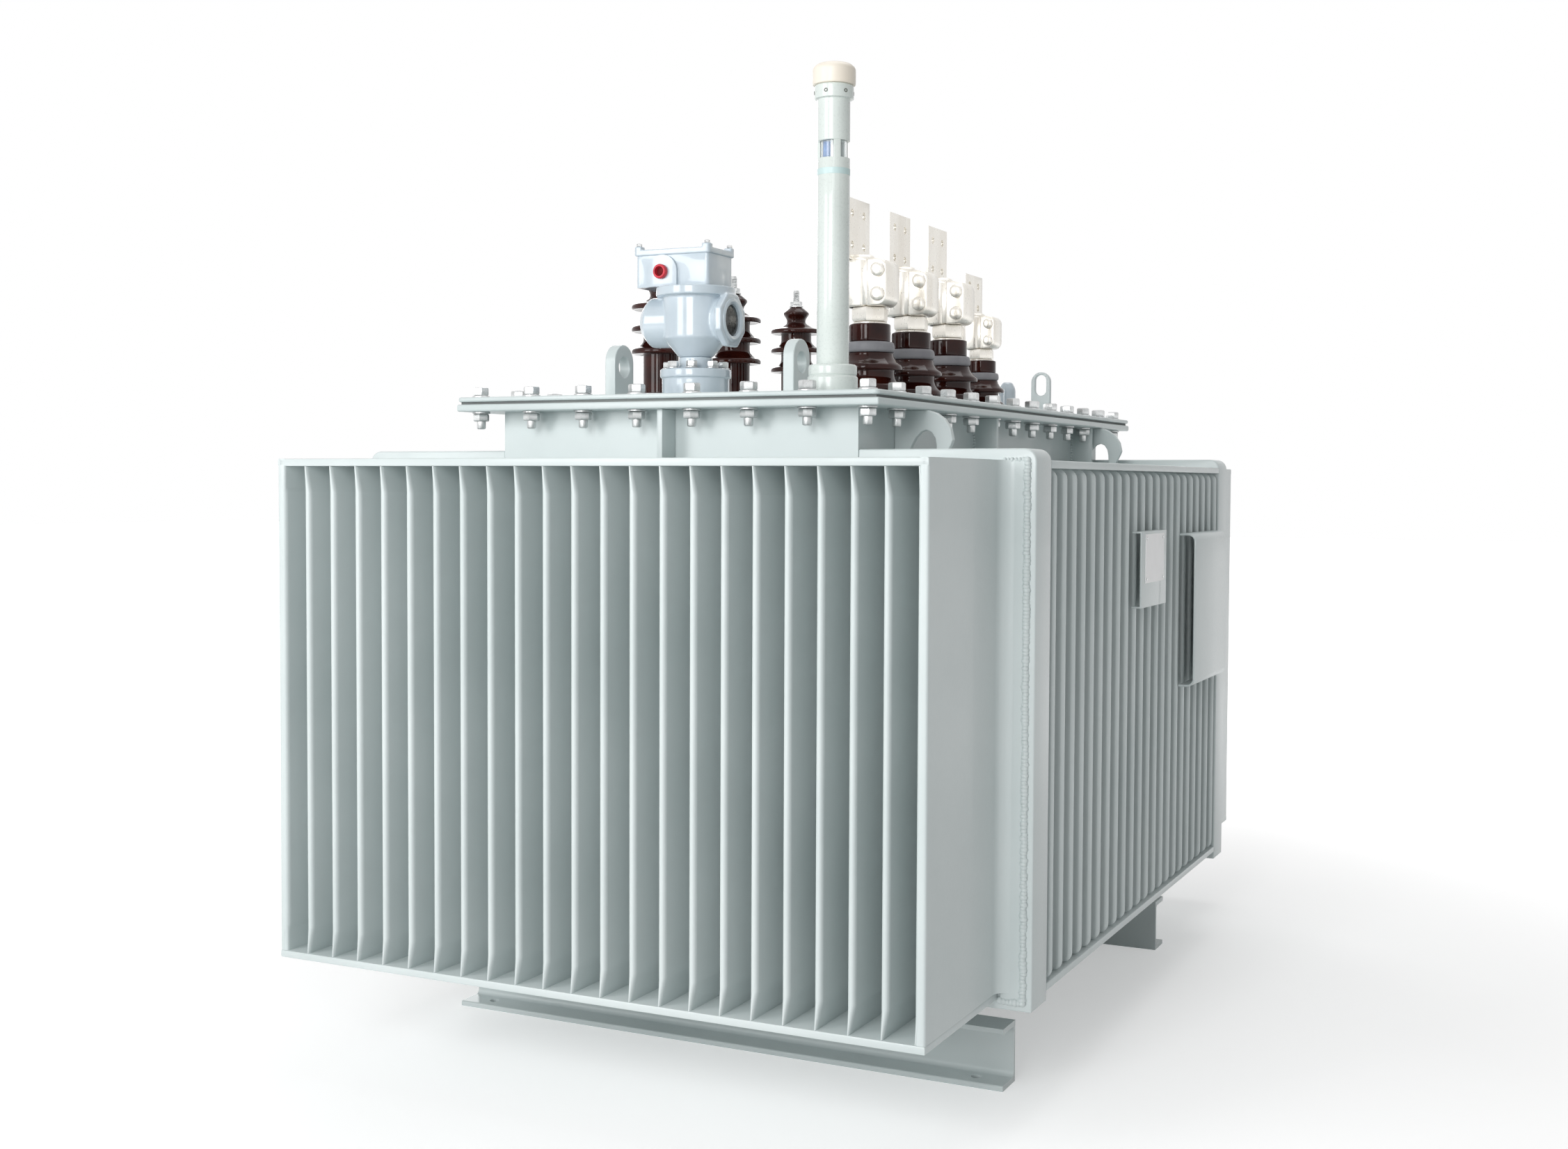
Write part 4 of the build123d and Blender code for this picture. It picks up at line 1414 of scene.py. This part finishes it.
    def build(self) -> None:
        """Build the row with its gaskets, nuts, clamps and palms."""
        gaskets, nuts, clamps, bolts = [], [], [], []
        for letter in self.letters:
            node = f"lv_bushing_{letter}"
            base = foot_of(node)
            size = self.neutral_size if letter == "n" else 1.0
            dress(self.porcelain(base, size), f"porcelain_{node}", BROWN_GLAZE, node, shading=Shading.CURVED)
            gaskets.append(self.gasket(base, size))
            nuts.append(self.nut(base, size))
            clamps += self.clamp(base, size)
            bolts += self.clamp_bolts(base, size)
        dress(join(gaskets), "lv_ring_gaskets", GREY_RUBBER, "lv_gaskets")
        dress(join(nuts), "lv_hexagon_nuts", TIN, "lv_nuts")
        dress(join(clamps), "lv_split_clamps", TIN, "lv_clamps", shading=Shading.CURVED)
        dress(repeat(self.round_head(), bolts), "lv_clamp_bolts", TIN)
        dress_copy("lv_palms", "lv_drilled_palms", TIN, self.palm_round, shading=Shading.FLAT_PLATE)


@dataclass
class GasRelay:
    """Cast relay on its riser: smooth body, sight glass, terminal box and cable plug."""

    voxel: float = 0.0016
    fettling: float = 0.6
    fettling_passes: int = 9
    riser_profile: Profile = (
        (0, 0), (0.056, 0), (0.056, 0.031), (0.059, 0.032), (0.059, 0.046),
        (0.034, 0.047), (0.028, 0.053), (0.028, 0.066), (0, 0.066),
    )
    riser_round: float = 0.003
    flange_bolt: HexFastener = HexFastener(flats=0.016, height=0.010, washer=0.021, washer_height=0.002)
    flange_bolts: int = 8
    flange_turn: float = 20.0
    flange_bolt_ring: float = 0.046
    flange_bolt_seat: float = 0.0465
    pane_edge: float = 0.003
    pane_shoulder: float = 0.0042
    pane_height: float = 0.0046
    dome_share: float = 0.7
    bezel_profile: Profile = (  # out from the edge of the glass, and forward from the body's face
        (-0.002, -0.006), (-0.002, 0), (0.003, 0.002), (0.008, 0.001), (0.008, -0.003), (-0.002, -0.006),
    )
    glass_round: float = 0.001
    box_round: float = 0.002
    box_screw: HexFastener = HexFastener(flats=0.008, height=0.004, washer=0.010, washer_height=0.001)
    box_screw_inset: float = 0.007
    plug_profile: Profile = (
        (0, 0), (0.012, 0), (0.012, 0.0075), (0.0105, 0.009), (0.0078, 0.009), (0.0070, 0.002), (0, 0.0016),
    )
    plug_round: float = 0.0012
    bore_profile: Profile = ((0, 0.0024), (0.0074, 0.0028), (0.0077, 0.0086))

    def body(self) -> None:
        """Blend the edges of the cast body as a foundry would."""
        piece = copy_of("relay_body")
        blend = piece.modifiers.new("casting", "REMESH")
        blend.mode = "VOXEL"
        blend.voxel_size = self.voxel
        bpy.ops.object.modifier_apply(modifier=blend.name)
        even = piece.modifiers.new("fettling", "SMOOTH")
        even.factor = self.fettling
        even.iterations = self.fettling_passes
        bpy.ops.object.modifier_apply(modifier=even.name)
        dress(piece, "cast_relay_body", RELAY_PAINT, "relay_body", shading=Shading.CASTING)

    def riser(self) -> None:
        """Turn the riser and set the bolts on its flange."""
        base = foot_of("relay_riser")
        riser = lathe(rounded(self.riser_profile, self.riser_round), base, sides=64)
        dress(riser, "turned_relay_riser", RELAY_PAINT, "relay_riser")
        seat = shift(x=self.flange_bolt_ring, z=self.flange_bolt_seat)
        turns = ring_angles(self.flange_bolts, self.flange_turn)
        places = [Matrix.Translation(base) @ spun(turn) @ seat for turn in turns]
        dress(repeat(self.flange_bolt.build(), places), "relay_flange_bolts", ZINC)

    def glass(self) -> None:
        """Sight glass in its bezel, its pane painted dark as shade of the oil-filled relay's inside behind
        it.
        """
        low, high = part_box("relay_sight_glass")
        middle = (low + high) / 2
        radius = (high.y - low.y) / 2
        pane = [(0, 0), (radius, 0), (radius, self.pane_edge)]
        pane += [(radius * self.dome_share, self.pane_shoulder), (0, self.pane_height)]
        at = Vector((low.x, middle.y, middle.z))
        glass = turned(lathe(rounded(pane, self.glass_round, steps=2), at), at, "Y")
        dress(glass, "domed_sight_glass", SHADE_PAINTED_GLASS, "relay_sight_glass")
        rim = [(radius + out, up) for out, up in self.bezel_profile]
        at = Vector((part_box("relay_body")[1].x, middle.y, middle.z))
        bezel = turned(lathe(rounded(rim, self.glass_round, steps=2), at), at, "Y")
        dress(bezel, "sight_glass_bezel", RELAY_PAINT)

    def box(self) -> None:
        """Terminal box, its lid with corner screws, and the plug in the cable entry."""
        dress_copy("relay_terminal_box", "moulded_terminal_box", RELAY_PAINT, self.box_round, steps=3)
        dress_copy("relay_box_lid", "ribbed_box_lid", RELAY_PAINT, self.box_round, steps=3)
        low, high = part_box("relay_box_lid")
        inset = self.box_screw_inset
        columns, rows = (low.x + inset, high.x - inset), (low.y + inset, high.y - inset)
        places = [shift(x, y, high.z) for x in columns for y in rows]
        dress(repeat(self.box_screw.build(), places), "box_lid_screws", ZINC)
        plug_low, plug_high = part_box("relay_cable_plug")
        at = Vector(((plug_low.x + plug_high.x) / 2, plug_high.y, (plug_low.z + plug_high.z) / 2))
        plug = turned(lathe(rounded(self.plug_profile, self.plug_round, steps=3), at, sides=36), at, "X")
        dress(plug, "ringed_cable_plug", RED_PLUG, "relay_cable_plug")
        # the bore takes the plug's red darkened as painted shade
        bore = turned(lathe(self.bore_profile, at, sides=36), at, "X")
        dress(bore, "cable_plug_bore", PLUG_BORE_SHADE)

    def build(self) -> None:
        """Build the relay from riser to terminal box."""
        self.body()
        self.riser()
        self.glass()
        self.box()


@dataclass
class OilGauge:
    """Upright level gauge: flanged foot, tube with guard bars, glass, head, collar and cap."""

    foot_profile: Profile = ((0, 0), (0.040, 0), (0.040, 0.025), (0.037, 0.0275), (0.0385, 0.029))
    foot_rim: float = 0.0385
    foot_edge: float = 0.003
    foot_top: float = 0.036
    foot_round: float = 0.0018
    tube_edge: float = 0.0008
    tube_angle: float = 50.0
    glass_wall: float = 0.003
    float_radius: float = 0.0065
    float_place: Point = (-0.010, -0.004)
    float_round: float = 0.001
    band_drop: float = 0.026
    band_profile: Profile = ((0.0253, 0), (0.0259, 0.0004), (0.0259, 0.0096), (0.0253, 0.010))
    head_radius: float = 0.0255
    head_round: float = 0.0012
    collar_height: float = 0.022
    collar_radius: float = 0.031
    collar_step: float = 0.0005
    collar_edge: float = 0.002
    collar_top: float = 0.0295
    collar_screws: int = 6
    screw_turn: float = -30.0
    screw_ring: float = 0.0302
    screw_rise: float = 0.010
    screw_profile: Profile = ((0, 0.0004), (0.0014, 0.0004), (0.0016, 0.0012), (0.0032, 0.0012), (0.0032, 0))
    cap_radius: float = 0.034
    cap_foot: float = 0.033
    cap_lip: float = 0.0015
    cap_shoulder: float = 0.008
    cap_crown: float = 0.026
    cap_dome: float = 0.001
    cap_round: float = 0.004

    @staticmethod
    def foot_and_height(node: str) -> tuple[Vector, float]:
        """Middle of a node's lower face, and the node's height."""
        base = foot_of(node)
        return base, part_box(node)[1].z - base.z

    def foot(self) -> None:
        """Turn the flanged foot."""
        base, height = self.foot_and_height("gauge_base")
        profile = [*self.foot_profile, (self.foot_rim, height - self.foot_edge)]
        profile += [(self.foot_top, height), (0, height)]
        foot = lathe(rounded(profile, self.foot_round, steps=3), base, sides=56)
        dress(foot, "flanged_gauge_foot", GAUGE_PAINT, "gauge_base")

    def tube(self) -> None:
        """Tube with its guard bars, the hollow glass and blue float behind them, and the plain band."""
        tube = soften(copy_of("gauge_tube"), self.tube_edge, angle=self.tube_angle)
        dress(tube, "guard_bar_tube", GAUGE_PAINT, "gauge_tube")
        base, height = self.foot_and_height("gauge_glass")
        low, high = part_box("gauge_glass")
        outer = (high.x - low.x) / 2
        inner = outer - self.glass_wall
        wall = [(inner, 0), (outer, 0), (outer, height), (inner, height), (inner, 0)]
        dress(lathe(wall, base), "gauge_glass_tube", GLASS, "gauge_glass")
        stem = [(0, 0), (self.float_radius, 0), (self.float_radius, height), (0, height)]
        at = base + Vector((*self.float_place, 0))
        stem_piece = lathe(rounded(stem, self.float_round, steps=2), at, sides=24)
        dress(stem_piece, "blue_level_float", BLUE_FLOAT)
        band_base = base + Vector((0, 0, -self.band_drop))
        dress(lathe(self.band_profile, band_base), "plain_tube_band", BAND)

    def head(self) -> None:
        """Turn the head with its collar, and set the screws round the collar."""
        base, height = self.foot_and_height("gauge_head")
        collar = height - self.collar_height
        outline = [(0, 0), (self.head_radius, 0), (self.head_radius, collar)]
        outline.append((self.collar_radius, collar + self.collar_step))
        outline.append((self.collar_radius, height - self.collar_edge))
        outline += [(self.collar_top, height), (0, height)]
        head = lathe(rounded(outline, self.head_round, steps=3), base, sides=56)
        dress(head, "collared_gauge_head", GAUGE_PAINT, "gauge_head")
        seat = shift(x=self.screw_ring, z=collar + self.screw_rise) @ quarter("Y")
        turns = ring_angles(self.collar_screws, self.screw_turn)
        places = [Matrix.Translation(base) @ spun(turn) @ seat for turn in turns]
        screw = lathe(self.screw_profile, Vector(), sides=12)
        dress(repeat(screw, places), "gauge_collar_screws", DARK_SCREW)

    def cap(self) -> None:
        """Turn the rounded cap."""
        base, height = self.foot_and_height("gauge_cap")
        profile = [(0, 0), (self.cap_foot, 0), (self.cap_radius, self.cap_lip)]
        profile.append((self.cap_radius, height - self.cap_shoulder))
        profile += [(self.cap_crown, height - self.cap_dome), (0, height)]
        cap = lathe(rounded(profile, self.cap_round), base, sides=64)
        dress(cap, "rounded_gauge_cap", CREAM_CAP, "gauge_cap")

    def build(self) -> None:
        """Build the gauge from foot to cap."""
        self.foot()
        self.tube()
        self.head()
        self.cap()


@dataclass
class SideFittings:
    """Blank rating plate in its holder and the bent bracket on the right cooling wall."""

    sheet_round: float = 0.001
    plate_round: float = 0.0005
    rivet_inset: float = 0.007
    rivet_profile: Profile = ((0, 0), (0.003, 0), (0.0028, 0.0012), (0, 0.002))
    rivet_round: float = 0.0008

    def build(self) -> None:
        """Build holder, plate, rivets and bracket."""
        dress_copy("rating_plate_holder", "bent_plate_holder", GREY_PAINT, self.sheet_round)
        dress_copy("rating_plate", "blank_rating_plate", LABEL, self.plate_round, steps=1)
        low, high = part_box("rating_plate")
        inset = self.rivet_inset
        columns, rows = (low.y + inset, high.y - inset), (low.z + inset, high.z - inset)
        places = [shift(high.x, y, z) @ quarter("Y") for y in columns for z in rows]
        dome = lathe(rounded(self.rivet_profile, self.rivet_round, steps=2), Vector(), sides=14)
        dress(repeat(dome, places), "rating_plate_rivets", ZINC)
        dress_copy("side_bracket", "bent_side_bracket", GREY_PAINT, self.sheet_round)


@dataclass
class BaseFrame:
    """Rolled channels, tank floor and walls, kept as built and painted."""

    kept: tuple[str, ...] = (
        "front_base_channel", "rear_base_channel", "tank_floor",
        "front_wall", "rear_wall", "left_wall", "right_wall",
    )

    def build(self) -> None:
        """Paint the kept solids."""
        for node in self.kept:
            paint_node(node, GREY_PAINT)
        paint_node("lid_gasket", RUBBER)


# Studio


def seen_rays(tree: bpy.types.NodeTree) -> Socket:
    """Value that is 1 for camera, mirror and glass rays, which see the white background.

    Args:
        tree: the node tree to add to.

    Returns:
        The value socket.
    """
    path = tree.nodes.new("ShaderNodeLightPath")
    seen = path.outputs["Is Camera Ray"]
    for ray in ("Is Glossy Ray", "Is Transmission Ray"):
        either = tree.nodes.new("ShaderNodeMath")
        either.operation = "MAXIMUM"
        tree.links.new(seen, either.inputs[0])
        tree.links.new(path.outputs[ray], either.inputs[1])
        seen = either.outputs["Value"]
    return seen


@dataclass(frozen=True)
class Lamp:
    """A soft rectangular lamp that looks at the middle of the tank."""

    name: str
    place: Triple
    size: tuple[float, float]
    watts: float
    aim: Triple = (0.0, 0.0, 0.7)

    def hang(self) -> None:
        """Hang the lamp in the studio."""
        data = bpy.data.lights.new(self.name, "AREA")
        data.shape = "RECTANGLE"
        data.size, data.size_y = self.size
        data.energy = self.watts
        lamp = bpy.data.objects.new(self.name, data)
        toward = Vector(self.aim) - Vector(self.place)
        turn = toward.to_track_quat("-Z", "Y").to_matrix().to_4x4()
        lamp.matrix_world = Matrix.Translation(self.place) @ turn
        bpy.context.collection.objects.link(lamp)


@dataclass
class Studio:
    """Pale floor, soft lamps and a camera that stands where the photograph was taken."""

    image_width: float = 2254.0
    image_height: float = 1652.0
    focal_pixels: float = 2563.4
    middle_pixel: tuple[float, float] = (1125.9, 794.9)
    sensor: float = 36.0
    place: Triple = (1.42625, -3.17203, 0.96175)
    yaw: float = 25.95
    pitch: float = -2.232
    roll: float = 0.239
    sky: float = 0.30
    lamps: tuple[Lamp, ...] = (
        Lamp("key_lamp", (-2.4, -4.9, 2.1), (1.9, 2.5), 86.0),
        Lamp("front_lamp", (0.6, -5.6, 2.2), (1.9, 2.5), 128.0),
        Lamp("top_lamp", (0.4, 0.6, 4.6), (2.4, 3.0), 45.0),
        Lamp("back_lamp", (-3.2, 4.6, 2.4), (1.9, 2.5), 45.0),
    )
    floor_size: float = 60.0
    floor_tones: tuple[float, float] = (0.88, 0.92)
    floor_patches: float = 0.7
    floor_roughness: float = 0.9
    floor_fade: tuple[float, float] = (1.2, 3.6)
    floor_glow: tuple[float, float] = (0.35, 1.0)

    def camera(self) -> None:
        """Place the camera from its fitted angles and focal length."""
        data = bpy.data.cameras.new("photo_camera")
        data.sensor_width = self.sensor
        data.lens = self.focal_pixels * self.sensor / self.image_width
        data.shift_x = (self.image_width / 2 - self.middle_pixel[0]) / self.image_width
        data.shift_y = (self.middle_pixel[1] - self.image_height / 2) / self.image_width
        yaw, pitch, roll = (math.radians(angle) for angle in (self.yaw, self.pitch, self.roll))
        forward = Vector((-math.sin(yaw) * math.cos(pitch), math.cos(yaw) * math.cos(pitch), math.sin(pitch)))
        right = Vector((math.cos(yaw), math.sin(yaw), 0))
        up = right.cross(forward)
        tilted_right = right * math.cos(roll) + up * math.sin(roll)
        tilted_up = tilted_right.cross(forward)
        turn = Matrix((tilted_right, tilted_up, -forward)).transposed().to_4x4()
        camera = bpy.data.objects.new("photo_camera", data)
        camera.matrix_world = Matrix.Translation(self.place) @ turn
        bpy.context.collection.objects.link(camera)
        bpy.context.scene.camera = camera

    def floor(self) -> None:
        """Lay a pale floor that keeps the shadow and reads as white."""
        deselect()
        bpy.ops.mesh.primitive_plane_add(size=self.floor_size)
        floor = bpy.context.object
        floor.name = "studio_floor"
        bench = NodeBench("pale_floor")
        stops = [(at, (tone, tone, tone)) for at, tone in zip(NOISE_RANGE, self.floor_tones)]
        bench.feed(bench.ramp(bench.noise(self.floor_patches), stops), "Base Color")
        bench.set(bench.shader, Roughness=self.floor_roughness, Emission_Color=(1, 1, 1, 1))
        distance = bench.add("VectorMath")
        distance.operation = "LENGTH"
        bench.tree.links.new(bench.place, distance.inputs[0])
        (near, far), (dim, bright) = self.floor_fade, self.floor_glow
        fade = bench.add("MapRange", From_Min=near, From_Max=far, To_Min=dim, To_Max=bright)
        fade.interpolation_type = "SMOOTHSTEP"
        bench.tree.links.new(distance.outputs["Value"], fade.inputs["Value"])
        glow = bench.add("Math")
        glow.operation = "MULTIPLY"
        bench.tree.links.new(fade.outputs["Result"], glow.inputs[0])
        bench.tree.links.new(seen_rays(bench.tree), glow.inputs[1])
        bench.feed(glow.outputs["Value"], "Emission Strength")
        floor.data.materials.append(bench.material)

    def world(self) -> None:
        """Light from all round, with a white background for camera, mirror and glass rays."""
        world = bpy.data.worlds.new("studio_sky")
        world.use_nodes = True
        tree = world.node_tree
        level = tree.nodes.new("ShaderNodeMapRange")
        level.inputs["To Min"].default_value = self.sky
        level.inputs["To Max"].default_value = 1.0
        tree.links.new(seen_rays(tree), level.inputs["Value"])
        tree.nodes["Background"].inputs["Color"].default_value = (1, 1, 1, 1)
        tree.links.new(level.outputs["Result"], tree.nodes["Background"].inputs["Strength"])
        bpy.context.scene.world = world

    def build(self) -> None:
        """Set up floor, light and camera."""
        bpy.context.scene.view_settings.view_transform = "Standard"
        self.floor()
        self.world()
        for lamp in self.lamps:
            lamp.hang()
        self.camera()


def main() -> None:
    """Build every sub-assembly in order, then the studio."""
    logging.basicConfig(level=logging.INFO, format="%(name)s: %(message)s")
    assemblies = (
        BaseFrame(), CoolingWalls(), TankTop(), HighVoltageRow(),
        LowVoltageRow(), GasRelay(), OilGauge(), SideFittings(),
    )
    for assembly in assemblies:
        LOG.info("building %s", type(assembly).__name__)
        assembly.build()
    Studio().build()


if __name__ == "__main__":
    main()
